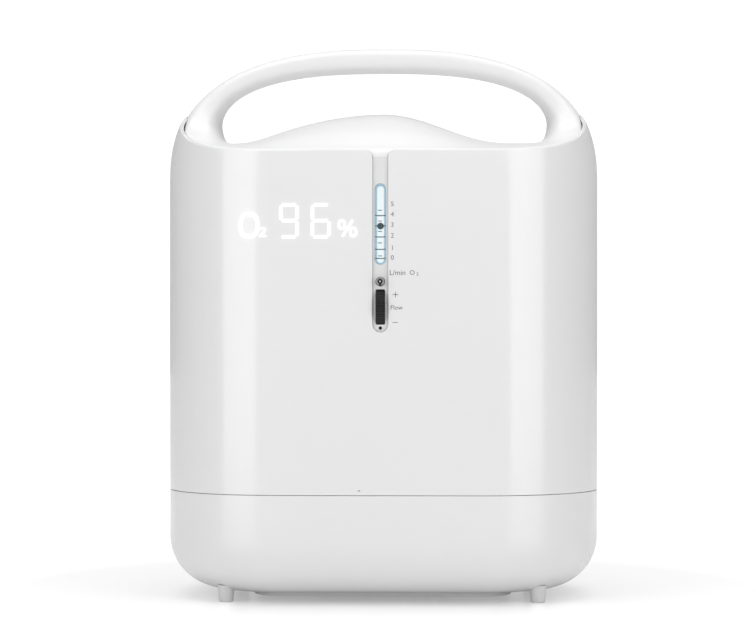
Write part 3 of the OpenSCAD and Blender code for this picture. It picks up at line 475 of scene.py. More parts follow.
def product(tree: NodeTree, first: object, second: object) -> object:
    """Adds a node that multiplies two values and gives its socket."""
    node = tree.nodes.new("ShaderNodeMath")
    node.operation = "MULTIPLY"
    tree.links.new(first, node.inputs[0])
    tree.links.new(second, node.inputs[1])
    return node.outputs[0]


@dataclass(frozen=True)
class Glow(Finish):
    """A shell finish with light behind it, where an attribute of the mesh says how much."""

    attribute: str = "glow"
    strength: float = 1.0

    def paint(self, tree: NodeTree, shader: Node, place: object) -> None:
        """Adds the shell's own look, then the light that comes through."""
        super().paint(tree, shader, place)
        shader.inputs["Emission Color"].default_value = (1, 1, 1, 1)
        reader = tree.nodes.new("ShaderNodeAttribute")
        reader.attribute_name = self.attribute
        flicker = spread(tree, noise(tree, place, 700.0, 2.0), 0.97 * self.strength, 1.03 * self.strength)
        tree.links.new(product(tree, reader.outputs["Fac"], flicker), shader.inputs["Emission Strength"])


@dataclass(frozen=True)
class TubeLight(Finish):
    """The flow tube's bore as painted light: a painted glow, white in the middle, with painted steel blue shade
    where the wall is seen edge on.
    """

    half: float = 4.4
    low: float = 275.7
    high: float = 340.7
    steps: tuple[tuple[float, Colour], ...] = ()

    def paint(self, tree: NodeTree, shader: Node, place: object) -> None:
        """Colours the painted glow by the distance from the middle line of the tube; the darker blue towards
        the sides is painted shade.
        """
        split = tree.nodes.new("ShaderNodeSeparateXYZ")
        tree.links.new(place, split.inputs[0])
        clamp = tree.nodes.new("ShaderNodeClamp")
        clamp.inputs["Min"].default_value = (self.low + self.half) * MM
        clamp.inputs["Max"].default_value = (self.high - self.half) * MM
        tree.links.new(split.outputs["Z"], clamp.inputs["Value"])
        beyond = tree.nodes.new("ShaderNodeMath")
        beyond.operation = "SUBTRACT"
        tree.links.new(split.outputs["Z"], beyond.inputs[0])
        tree.links.new(clamp.outputs[0], beyond.inputs[1])
        join = tree.nodes.new("ShaderNodeCombineXYZ")
        tree.links.new(split.outputs["X"], join.inputs["X"])
        tree.links.new(beyond.outputs[0], join.inputs["Z"])
        length = tree.nodes.new("ShaderNodeVectorMath")
        length.operation = "LENGTH"
        tree.links.new(join.outputs[0], length.inputs[0])
        share = spread(tree, length.outputs["Value"], 0.0, 1.0, 0.0, self.half * MM)
        ramp = tree.nodes.new("ShaderNodeValToRGB")
        for position, _ in self.steps[1:-1]:
            ramp.color_ramp.elements.new(position)
        for element, (_, colour) in zip(ramp.color_ramp.elements, self.steps):
            element.color = (*colour, 1)
        tree.links.new(share, ramp.inputs["Fac"])
        tree.links.new(ramp.outputs["Color"], shader.inputs["Emission Color"])
        # Painted light: the bore glows on its own, with no lamp behind it.
        shader.inputs["Emission Strength"].default_value = 0.92
        shader.inputs["Base Color"].default_value = (0.02, 0.02, 0.02, 1)
        shader.inputs["Roughness"].default_value = 0.4
        tree.links.new(self.height(tree, place), shader.inputs["Normal"])


SHELL = Finish("shell_white", (0.76, 0.76, 0.76), 0.30, look=Look.SATIN, drift=0.006, grain=45, relief=0.02,
               coat=1.0, uneven=0.01)
COVER = Finish("cover_white", (0.78, 0.78, 0.78), 0.42, drift=0.005, grain=40, relief=0.02, coat=0.25,
               uneven=0.01)
STRIP = Finish("strip_white", (0.69, 0.69, 0.69), 0.40, look=Look.SATIN, drift=0.006, grain=60, relief=0.02,
               uneven=0.01)
DISPLAY = Glow("display_white", SHELL.colour, SHELL.roughness, look=Look.SATIN, drift=SHELL.drift,
               grain=SHELL.grain, relief=SHELL.relief, coat=SHELL.coat, uneven=SHELL.uneven, strength=0.42)
# Painted light: the bore's glow and its blue edge shade are painted, not lit by a lamp.
TUBE_PAINTED_GLOW = TubeLight("tube_painted_glow", (0.9, 1.0, 1.0), relief=0.002, steps=(
    (0.0, (0.97, 1.0, 1.0)), (0.52, (0.93, 1.0, 1.0)), (0.66, (0.50, 0.70, 0.82)), (0.78, (0.15, 0.29, 0.40)),
    (0.90, (0.28, 0.45, 0.57)), (1.0, (0.16, 0.28, 0.33))))
CLEAR = Finish("clear_tube", (0.5, 0.72, 0.8), 0.05, drift=0.02, grain=300, relief=0.002, alpha=0.06)
BOTTLE = Finish("bottle_clear", (0.86, 0.94, 0.98), 0.06, drift=0.01, grain=220, relief=0.01,
                transmission=0.92)
STEEL = Finish("steel", (0.62, 0.63, 0.64), 0.26, metallic=1, look=Look.BRUSHED, drift=0.05, grain=5200,
               relief=0.004)
NICKEL = Finish("nickel", (0.40, 0.40, 0.41), 0.24, metallic=1, drift=0.04, grain=900, relief=0.004)
BRASS = Finish("brass", (0.74, 0.55, 0.24), 0.25, metallic=1, look=Look.BRUSHED, drift=0.07, grain=4200,
               relief=0.004)
COPPER = Finish("copper", (0.75, 0.42, 0.28), 0.28, metallic=1, look=Look.BRUSHED, drift=0.1, grain=3000,
                relief=0.006)
CAST = Finish("cast_aluminium", (0.58, 0.59, 0.60), 0.48, metallic=1, look=Look.CAST, drift=0.08, grain=900,
              relief=0.05)
IRON = Finish("rotor_iron", (0.2, 0.2, 0.21), 0.5, metallic=0.8, look=Look.BRUSHED, drift=0.15, grain=2600,
              relief=0.02)
BLACK = Finish("black_plastic", (0.022, 0.022, 0.024), 0.38, look=Look.SATIN, drift=0.12, grain=2400,
               relief=0.012)
WHEEL = Finish("wheel_black", (0.009, 0.009, 0.010), 0.30, drift=0.1, grain=900, relief=0.01)
GLOSS_BLACK = Finish("float_black", (0.006, 0.006, 0.007), 0.22, drift=0.1, grain=1500, relief=0.002,
                     specular=0.2)
RUBBER = Finish("rubber", (0.035, 0.035, 0.036), 0.7, look=Look.CAST, drift=0.15, grain=1500, relief=0.03)
VESSEL = Finish("vessel_white", (0.82, 0.82, 0.81), 0.42, look=Look.CAST, drift=0.02, grain=1100, relief=0.04)
BOARD = Finish("circuit_board", (0.03, 0.2, 0.09), 0.32, look=Look.BOARD, drift=0.15, grain=160, relief=0.05)
LIGHT = Finish("light_white", (0.92, 0.92, 0.92), 0.2, drift=0.02, grain=600, relief=0.01, transmission=0.3)
GREEN = Finish("rocker_green", (0.03, 0.33, 0.12), 0.2, drift=0.08, grain=900, relief=0.006,
               transmission=0.25)
PAPER = Finish("filter_paper", (0.86, 0.86, 0.80), 0.85, look=Look.PAPER, drift=0.05, grain=1300, relief=0.08)
FOAM = Finish("foam_grey", (0.13, 0.135, 0.14), 0.95, look=Look.FOAM, drift=0.25, grain=520, relief=0.5)
BLUE = Finish("cap_blue", (0.05, 0.19, 0.52), 0.3, look=Look.SATIN, drift=0.06, grain=2000, relief=0.008)
SILICONE = Finish("silicone", (0.80, 0.82, 0.82), 0.45, drift=0.04, grain=700, relief=0.02, subsurface=0.2)
INK = Finish("grey_ink", (0.10, 0.10, 0.11), 0.55, look=Look.PAPER, drift=0.1, grain=2600, relief=0.006)
TICK_INK = Finish("tick_ink", (0.045, 0.07, 0.10), 0.5, look=Look.PAPER, drift=0.1, grain=2600, relief=0.006)
RED_INK = Finish("red_ink", (0.45, 0.02, 0.08), 0.5, look=Look.PAPER, drift=0.1, grain=2600, relief=0.006)
# Near black: used for the outlet seal, and as painted shade in the pinhole cup and the notch patch.
PORT_DARK = Finish("port_dark", (0.01, 0.01, 0.011), 0.3, drift=0.1, grain=1500, relief=0.004)


# ------------------------------------------------------------------ joining pieces to the model


def adopt(obj: Object, name: str, finish: Finish, slot: str, body: str, *nodes: str) -> Object:
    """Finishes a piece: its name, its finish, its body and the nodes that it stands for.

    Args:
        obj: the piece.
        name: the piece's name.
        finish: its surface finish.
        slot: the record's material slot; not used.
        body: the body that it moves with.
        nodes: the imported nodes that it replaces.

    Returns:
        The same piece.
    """
    named(settle(obj), name)
    finish.dress(obj)
    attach(obj, body)
    if nodes:
        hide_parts(*nodes)
    LOG.info("%s: %d faces on %s", name, len(obj.data.polygons), body)
    return obj


@dataclass
class Refiner:
    """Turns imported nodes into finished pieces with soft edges."""

    nodes: dict[str, Object]

    def refine(self, node: str, finish: Finish, slot: str, body: str, width: float = 0.3, angle: float = 38.0,
               segments: int = 2) -> Object:
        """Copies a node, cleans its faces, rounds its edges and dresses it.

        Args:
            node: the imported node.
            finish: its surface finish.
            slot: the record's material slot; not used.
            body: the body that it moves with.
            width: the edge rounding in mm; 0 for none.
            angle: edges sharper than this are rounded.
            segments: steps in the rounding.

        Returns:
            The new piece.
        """
        source = self.nodes[node]
        obj = bpy.data.objects.new(node + "_piece", source.data.copy())
        bpy.context.scene.collection.objects.link(obj)
        weld(obj, 0.004, outward=False)
        enter(obj)
        bpy.ops.mesh.select_all(action="SELECT")
        bpy.ops.mesh.dissolve_limited(angle_limit=math.radians(0.6))
        leave()
        if width:
            rounded(obj, width, angle, segments)
        else:
            smooth(obj, angle)
        return adopt(obj, node + "_piece", finish, slot, body, node)

    def dress(self, finish: Finish, *names: str) -> None:
        """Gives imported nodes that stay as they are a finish."""
        for name in names:
            finish.dress(self.nodes[name])
            LOG.info("%s: packed node in %s", name, finish.name)


# ------------------------------------------------------------------ the form of the cabinet


@dataclass(frozen=True)
class CabinetForm:
    """The sizes and curves that the outer shells share, in mm."""

    half_w: float = 180.0
    half_d: float = 120.0
    corner_r: float = 100.0
    floor_gap: float = 8.0
    bottom_r: float = 44.0
    seam_z: float = 90.0
    shoulder_z: float = 345.0
    total_h: float = 462.4
    rim_front_z: float = 367.0
    rim_rise: float = 41.0
    edge_lip: float = 1.4
    edge_band: float = 35.0
    crest_z: float = 381.5
    hump_h: float = 25.5
    hump_right: float = 105.0
    hump_left: float = 120.0
    crown_power: float = 2.6
    crown_root: float = 0.4
    corner_steps: int = 26

    def inset(self, z: float) -> float:
        """How far the outline has come in at a height."""
        u = max(z - self.shoulder_z, 0) / (self.total_h - self.shoulder_z)
        return self.half_w * (1 - (1 - min(u, 1.0) ** self.crown_power) ** self.crown_root)

    def columns(self) -> list[tuple[int, float, float]]:
        """The columns round the plan, each as corner, angle and share of the flat that follows."""
        made = []
        for corner in range(4):
            made += [(corner, 90 * (corner + k / self.corner_steps), 0.0)
                     for k in range(self.corner_steps + 1)]
            flats = (0.006, 0.25, 0.5, 0.75, 0.994) if corner in (0, 2) else (0.03, 0.5, 0.97)
            made += [(corner, 90.0 * (corner + 1), share) for share in flats]
        return made

    def corner_point(self, corner: int, angle: float, inset: float) -> Flat:
        """A point of one corner's arc."""
        r = max(self.corner_r - inset, 4.0)
        cx, cy = self.half_w - inset - r, self.half_d - inset - r
        sx, sy = (1 if corner in (0, 3) else -1), (1 if corner < 2 else -1)
        a = math.radians(angle)
        return sx * cx + r * math.cos(a), sy * cy + r * math.sin(a)

    def plan_point(self, column: tuple[int, float, float], inset: float) -> Flat:
        """The point of a column on the plan at an inset."""
        corner, angle, share = column
        a = self.corner_point(corner, angle, inset)
        if not share:
            return a
        b = self.corner_point((corner + 1) % 4, angle, inset)
        return a[0] + (b[0] - a[0]) * share, a[1] + (b[1] - a[1]) * share

    def rim_z(self, y: float) -> float:
        """The height of the sleeve's rim over a place along Y."""
        u = max(0.0, 1 - abs(y) / self.half_d)
        share = 0.5 * u ** 1.25 + 0.5 * math.sin(math.radians(90 * u)) ** 2
        return self.rim_front_z + self.rim_rise * share

    def rim_point(self, column: tuple[int, float, float], inset: float, lift: float) -> Point:
        """The rim's point on a column, further in by an inset and higher by a lift."""
        z = self.rim_front_z + lift
        for _ in range(14):
            x, y = self.plan_point(column, self.inset(z) + inset)
            z = self.rim_z(y) + lift
        return x, y, z

    def hump(self, x: float) -> float:
        """How much the crest line of the cover rises over a place along X."""
        if not -self.hump_left < x < self.hump_right:
            return 0.0
        if x >= 0:
            return self.hump_h * math.cos(math.radians(90 * x / self.hump_right)) ** 2
        fall = 1 - (-x / self.hump_left) ** 8
        return self.hump_h * math.cos(math.radians(90 * x / self.hump_left)) * fall

    def inset_at(self, x: float, y: float) -> float:
        """How far a place is inside the outline of the plan."""
        dx, dy = abs(x) - (self.half_w - self.corner_r), abs(y) - (self.half_d - self.corner_r)
        if dx > 0 and dy > 0:
            return self.corner_r - math.hypot(dx, dy)
        return min(self.half_w - abs(x), self.half_d - abs(y))

    def cover_z(self, x: float, y: float) -> float:
        """The height of the cover's surface."""
        edge = self.rim_front_z + self.edge_lip
        dome = edge + (self.crest_z + self.hump(x) - edge) * (1 - min(1.0, abs(y) / self.half_d) ** 1.8)
        inside = self.inset_at(x, y) - self.inset(self.rim_z(y))
        share = min(1.0, max(0.0, 1 - inside / self.edge_band)) ** 2
        return dome + (self.rim_z(y) + self.edge_lip - dome) * share

    def front_y(self, x: float) -> float:
        """Where the front face is over a place along X, below the shoulder."""
        beyond = max(abs(x) - (self.half_w - self.corner_r), 0.0)
        return -(self.half_d - self.corner_r) - math.sqrt(self.corner_r ** 2 - beyond ** 2)


@dataclass
class OuterShells:
    """The sleeve and the base: two moulded shells that meet in a fine seam."""

    form: CabinetForm
    wall: float = 3.0
    gap: float = 0.35
    lift: float = 1.0
    slot_half: float = 6.2
    slot_z: float = 221.5
    slot_flare: float = 6.0
    rear_half: float = 95.0
    rear_low: float = 105.0
    rear_high: float = 335.0
    rim_steps: int = 14
    exhausts: tuple[float, ...] = tuple(-50 + 12.5 * k for k in range(9))
    floor_inset: float = 80.0
    mains_z: float = 70.0
    mains: tuple[tuple[str, float, float, float, float], ...] = (
        ("inlet_tool", 50.0, 22.5, 10.5, 3.0), ("switch_tool", -40.0, 9.5, 12.5, 2.0))

    def sleeve(self) -> Object:
        """Builds the sleeve: wrapped, walled, cut for the strip and the rear cover, then rounded."""
        form, columns = self.form, self.form.columns()
        heights = [form.seam_z + self.gap, 110.0, 200.0, 290.0, form.shoulder_z]
        tops = [form.rim_point(c, 0, self.lift)[2] for c in columns]

        def place(i: int, j: int) -> Point:
            """A point of the sleeve's skin."""
            k = i % len(columns)
            if j < len(heights):
                z = heights[j]
            else:
                z = form.shoulder_z + (tops[k] - form.shoulder_z) * (j - len(heights) + 1) / self.rim_steps
            return (*form.plan_point(columns[k], form.inset(z)), z)

        obj = wrapped("sleeve", len(columns), len(heights) - 1 + self.rim_steps, place)
        finish_with(obj, "SOLIDIFY", thickness=self.wall * MM, offset=-1, use_even_offset=True)
        cut(obj, self.slot_tool(), plate("rear_tool", box_outline(
            -self.rear_half, self.rear_half, self.rear_low, self.rear_high, 12), 60, 130))
        weld(obj, 0.12, outward=False)
        self.round_edges(obj, 0.85, lambda z: z > form.seam_z + 8)
        self.round_edges(obj, 0.4, lambda z: z < form.seam_z + 2)
        smooth(obj, 40)
        finish_with(obj, "WEIGHTED_NORMAL", keep_sharp=True, weight=50)
        return adopt(obj, "sleeve", SHELL, "white_gloss", "cabinet", "upper_shell")

    def lip(self) -> Object:
        """Builds the rolled lip between the strip's top and the cover, at the head of the slot."""
        w, r, top = self.slot_half - 0.1, self.slot_flare, self.form.rim_front_z + self.lift
        line = [(-117.75, 361.6), (-117.7, 363.4), (-117.3, 365.2), (-116.3, 366.9), (-114.7, 368.6),
                (-112.2, 370.6)]

        def place(i: int, j: int) -> Point:
            """A point of the lip's skin."""
            y, z = line[j]
            rise = min(max(z - top + r, 0.0), r)
            half = w + r - math.sqrt(r * r - rise * rise)
            return half * (i / 8 - 1), y, z

        obj = wrapped("slot_lip", 16, len(line) - 1, place)
        finish_with(obj, "SOLIDIFY", thickness=1.2 * MM, offset=-1)
        weld(obj)
        finish_with(obj, "SUBSURF", levels=1)
        return adopt(smooth(obj, 60), "slot_lip", COVER, "white_gloss", "cabinet", "top_cover")

    def slot_tool(self) -> Object:
        """The solid that cuts the strip's slot: a round foot, and a flare where it runs out at the rim."""
        w, r, top = self.slot_half, self.slot_flare, self.form.rim_front_z + self.lift + 0.07
        half = [(w * math.cos(a), self.slot_z + w - w * math.sin(a))
                for a in (math.pi / 2 * (1 - k / 10) for k in range(11))]
        flare = [(w + r - r * math.cos(a), top - r + r * math.sin(a))
                 for a in (math.pi / 2 * k / 10 for k in range(11))]
        right = half + flare + [(w + r, top + 30)]
        return plate("slot_tool", right + [(-x, z) for x, z in reversed(right[1:])], -140, -108)

    def round_edges(self, obj: Object, width: float, at: Callable[[float], bool]) -> None:
        """Rounds the sharp edges that lie on the outer skin.

        Args:
            obj: the shell.
            width: the rounding in mm.
            at: a test of the height in mm.
        """
        form, data = self.form, obj.data
        normals: dict[tuple[int, int], list[Vector]] = {}
        for face in data.polygons:
            for key in face.edge_keys:
                normals.setdefault(key, []).append(face.normal)
        limit = math.cos(math.radians(50))

        def sharp(edge: object) -> bool:
            """Whether an edge is sharp and on the skin."""
            pair = normals.get(tuple(sorted(edge.vertices)), [])
            if len(pair) != 2 or pair[0].dot(pair[1]) > limit:
                return False
            ends = [data.vertices[v].co / MM for v in edge.vertices]
            return all(at(p.z) and abs(form.inset_at(p.x, p.y) - form.inset(p.z)) < 0.35 for p in ends)

        count = mark(obj, edges=sharp)
        LOG.info("%s: %d edges rounded by %.2f mm", obj.name, count, width)
        enter(obj, "EDGE")
        bpy.ops.mesh.bevel(offset=width * MM, segments=3, profile=0.5, clamp_overlap=False)
        leave()

    def base(self) -> Object:
        """Builds the base: a tray with a large round under its walls, slots in its floor and two openings."""
        form, columns = self.form, self.form.columns()
        arc = [(form.floor_gap + form.bottom_r * (1 - math.cos(a)), form.bottom_r * (1 - math.sin(a)))
               for a in (math.pi / 2 * k / 18 for k in range(19))]
        levels = [(form.floor_gap, self.floor_inset), (form.floor_gap, 56.0), *arc, (70.0, 0.0),
                  (form.seam_z, 0.0)]

        def place(i: int, j: int) -> Point:
            """A point of the base's skin."""
            z, inset = levels[j]
            return (*form.plan_point(columns[i % len(columns)], inset), z)

        obj = wrapped("base", len(columns), len(levels) - 1, place)

        def at_floor_edge(index: int) -> bool:
            """Whether a vertex lies on the innermost ring of the floor."""
            x, y, z = obj.data.vertices[index].co / MM
            return abs(z - form.floor_gap) < 0.01 and abs(form.inset_at(x, y) - self.floor_inset) < 0.5

        mark(obj, edges=lambda e: all(at_floor_edge(v) for v in e.vertices))
        enter(obj, "EDGE")
        bpy.ops.mesh.edge_face_add()
        leave()
        finish_with(obj, "SOLIDIFY", thickness=self.wall * MM, offset=-1, use_even_offset=True)
        tools = []
        for k, x in enumerate(self.exhausts):
            tool = plate(f"vent_tool_{k}", box_outline(x - 3, x + 3, 0, 20, 0.4, 1), -40, 40)
            tools.append(tool)
        for name, x, half_w, half_h, radius in self.mains:
            outline = box_outline(x - half_w, x + half_w, self.mains_z - half_h, self.mains_z + half_h, radius)
            tools.append(plate(name, outline, 100, 130))
        cut(obj, *tools)
        weld(obj, 0.05, outward=False)
        self.round_edges(obj, 0.45, lambda z: z > form.seam_z - 2)
        smooth(obj, 40)
        finish_with(obj, "WEIGHTED_NORMAL", keep_sharp=True, weight=50)
        return adopt(obj, "base", SHELL, "white_gloss", "cabinet", "base_shell")

    def build(self) -> None:
        """Builds both shells and the lip of the slot."""
        self.sleeve()
        self.base()
        self.lip()


@dataclass
class CarryingCover:
    """The top cover and its handle, one smooth moulding."""

    form: CabinetForm
    grip: float = 20.0
    grip_half_depth: float = 19.0
    opening_half_w: float = 143.8
    opening_z: float = 385.0
    leg_bottom_z: float = 368.0
    skirt: float = 3.25
    skirt_z: float = 352.0
    edge_r: float = 1.2
    sink: float = 0.25
    voxel: float = 1.3
    section_steps: int = 44
    arch_steps: int = 60
    section_power: float = 0.72
    foot_spread: float = 10.0
    flat_half_depth: float = 20.0
    crown_band: float = 20.0
    saddle_x: float = 104.0

    def flare(self, z: float) -> float:
        """How much a leg spreads at a height, from 0 far up to more than 1 at its foot."""
        return math.exp(-(z - 380) / 18)

    def half_depth(self, z: float) -> float:
        """Half the hoop's depth at a height."""
        return self.grip_half_depth + 45 * min(self.flare(z), 1.3)

    def sections(self) -> list[tuple[float, float, float, float, float]]:
        """The hoop's sections from foot to foot: inner x and z, outer x and z, half depth."""
        form, found = self.form, []
        for k in range(8):
            z = self.leg_bottom_z + (self.opening_z - self.leg_bottom_z) * k / 8
            found.append((self.opening_half_w - self.foot_spread * min(self.flare(z), 1), z,
                          form.half_w - form.inset(z), z, self.half_depth(z)))
        top = form.total_h - self.grip - self.opening_z
        for k in range(self.arch_steps):
            f = math.sin(math.pi / 2 * k / self.arch_steps) ** (2 / form.crown_power)
            outer_z, inner_z = self.opening_z + f * (form.total_h - self.opening_z), self.opening_z + f * top
            inner_x = self.opening_half_w * (1 - f ** form.crown_power) ** (1 / form.crown_power)
            found.append((inner_x - self.foot_spread * self.flare(inner_z), inner_z,
                          form.half_w - form.inset(outer_z), outer_z, self.half_depth(outer_z)))
        found = [s for s in found if s[0] > 0.5]
        middle = (0.0, form.total_h - self.grip, 0.0, form.total_h, self.grip_half_depth)
        return found + [middle] + [(-s[0], s[1], -s[2], s[3], s[4]) for s in reversed(found)]

    def hoop(self) -> Object:
        """Builds the hoop as a swept band with an oval section."""
        form, sections, n = self.form, self.sections(), self.section_steps

        def rounding(value: float) -> float:
            """Makes the oval section fuller."""
            return math.copysign(abs(value) ** self.section_power, value)

        def place(i: int, j: int) -> Point:
            """A point of the hoop's skin, kept inside the plan's round corners."""
            inner_x, inner_z, outer_x, outer_z, deep = sections[j]
            across = Vector((outer_x - inner_x, outer_z - inner_z))
            ahead = across.normalized()
            angle = math.tau * (i % n) / n
            y = deep * rounding(math.sin(angle))
            reach = across.length / 2 * (1 + rounding(math.cos(angle)))
            x, z = inner_x + ahead.x * reach, inner_z + ahead.y * reach
            over = max(abs(y) - self.flat_half_depth, 0)
            shift = form.corner_r - math.sqrt(max(form.corner_r ** 2 - over ** 2, 0))
            share = min(1.0, max(0.0, abs(outer_x) / form.half_w))
            side = abs(x) - shift * share ** 3
            if abs(y) < form.corner_r and z < form.total_h - self.crown_band:
                r = form.corner_r - form.inset(z)
                limit = form.half_w - form.corner_r + math.sqrt(max(r * r - over * over, 0))
                side = min(side, limit)
            return math.copysign(side, x), y, z

        obj = wrapped("hoop", n, len(sections) - 1, place)
        mark(obj, edges=lambda e: all(
            abs(obj.data.vertices[v].co.z / MM - self.leg_bottom_z) < 0.01 for v in e.vertices))
        enter(obj, "EDGE")
        bpy.ops.mesh.edge_face_add()
        leave()
        return weld(obj)

    def dome(self) -> Object:
        """Builds the domed body under the hoop, with a skirt that goes down inside the sleeve."""
        form, columns = self.form, self.form.columns()
        edges = [form.rim_point(c, self.skirt, 0.9) for c in columns]
        steps = [0.0, 0.8, 2, 4, 7, 11, 16, 22, 29, 37, 46, 56, 67, 79, 90, 98, 104, 109]

        def place(i: int, j: int) -> Point:
            """A point of the dome's skin."""
            k = i % len(columns)
            x, y, z = edges[k]
            if j == 0:
                return x, y, self.skirt_z
            if j <= 4:
                a = math.pi / 2 * (j - 1) / 3
                inset = form.inset(z) + self.skirt + self.edge_r * (1 - math.cos(a))
                px, py = form.plan_point(columns[k], inset)
                return px, py, form.cover_z(px, py) - self.edge_r * (1 - math.sin(a)) - self.sink
            inset = form.inset(z) * max(0.0, 1 - steps[j - 4] / 80) + self.skirt + self.edge_r + steps[j - 4]
            px, py = form.plan_point(columns[k], min(inset, 115.9))
            return px, py, form.cover_z(px, py) - self.sink

        obj = wrapped("dome", len(columns), 3 + len(steps), place)
        weld(obj, 0.05)
        enter(obj, "EDGE")
        bpy.ops.mesh.select_all(action="DESELECT")
        bpy.ops.mesh.select_non_manifold()
        bpy.ops.mesh.edge_face_add()
        leave()
        return weld(obj, 0.01)

    def rim_tool(self) -> Object:
        """The solid that keeps the moulding off the sleeve's rim."""
        form, columns = self.form, self.form.columns()
        rings = [(self.skirt - 0.02, None), (self.skirt - 0.02, 1.3), (-6.0, 1.3), (-6.0, None),
                 (self.skirt - 0.02, None)]

        def place(i: int, j: int) -> Point:
            """A point of the tool."""
            inset, lift = rings[j]
            column = columns[i % len(columns)]
            if lift is None:
                return (*form.plan_point(column, inset), 300.0)
            x, y, z = form.rim_point(column, 0, lift)
            return (*form.plan_point(column, form.inset(z) + inset), z)

        return weld(wrapped("rim_tool", len(columns), len(rings) - 1, place))

    def blend_legs(self, obj: Object) -> None:
        """Smooths the saddles where the legs grow out of the cover, then the whole skin a little."""
        form = self.form

        def at_saddle(vertex: object) -> bool:
            """Whether a vertex lies where a leg grows out of the cover."""
            x, y, z = vertex.co / MM
            if abs(x) < self.saddle_x or form.inset_at(x, y) - form.inset(z) < 7:
                return False
            return -3 < z - form.cover_z(x, y) < 16

        mark(obj, points=at_saddle)
        enter(obj, "VERT")
        bpy.ops.mesh.vertices_smooth(factor=0.5, repeat=90)
        bpy.ops.mesh.select_all(action="SELECT")
        bpy.ops.mesh.vertices_smooth(factor=0.5, repeat=4)
        leave()

    def true_up(self, obj: Object) -> None:
        """Lays the cover's skin back on its exact form, away from the legs."""
        form, band = self.form, 12
        for vertex in obj.data.vertices:
            x, y, z = vertex.co / MM
            core = abs(x) < self.saddle_x - band and self.skirt_z + 10 < z < self.opening_z + 35
            if form.inset_at(x, y) > 8 and (core or abs(z - form.cover_z(x, y)) < 1.2):
                away = min(1.0, max(0.0, (self.saddle_x - abs(x)) / band))
                vertex.co.z += (form.cover_z(x, y) - self.sink - z) * away * MM

    def reopen_floor(self, obj: Object) -> None:
        """Replaces the voxel floor of the skirt with one flat face."""
        mark(obj, faces=lambda f: f.normal.z < -0.7 and f.center.z / MM < self.skirt_z + 3)
        enter(obj)
        bpy.ops.mesh.delete(type="FACE")
        bpy.ops.mesh.select_mode(type="EDGE")
        bpy.ops.mesh.select_non_manifold()
        bpy.ops.mesh.edge_face_add()
        leave()

    def build(self) -> None:
        """Joins the dome and the hoop, blends them where they meet and trims them to the sleeve."""
        obj = joined("top_cover", self.dome(), self.hoop())
        finish_with(obj, "REMESH", mode="VOXEL", voxel_size=self.voxel * MM, adaptivity=0)
        LOG.info("top_cover: remeshed to %d faces", len(obj.data.polygons))
        self.blend_legs(obj)
        self.true_up(obj)
        self.reopen_floor(obj)
        cut(obj, self.rim_tool())
        smooth(obj, 45)
        adopt(obj, "top_cover_and_handle", COVER, "white_gloss", "cabinet", "top_cover", "handle_liner")


# ------------------------------------------------------------------ the front controls


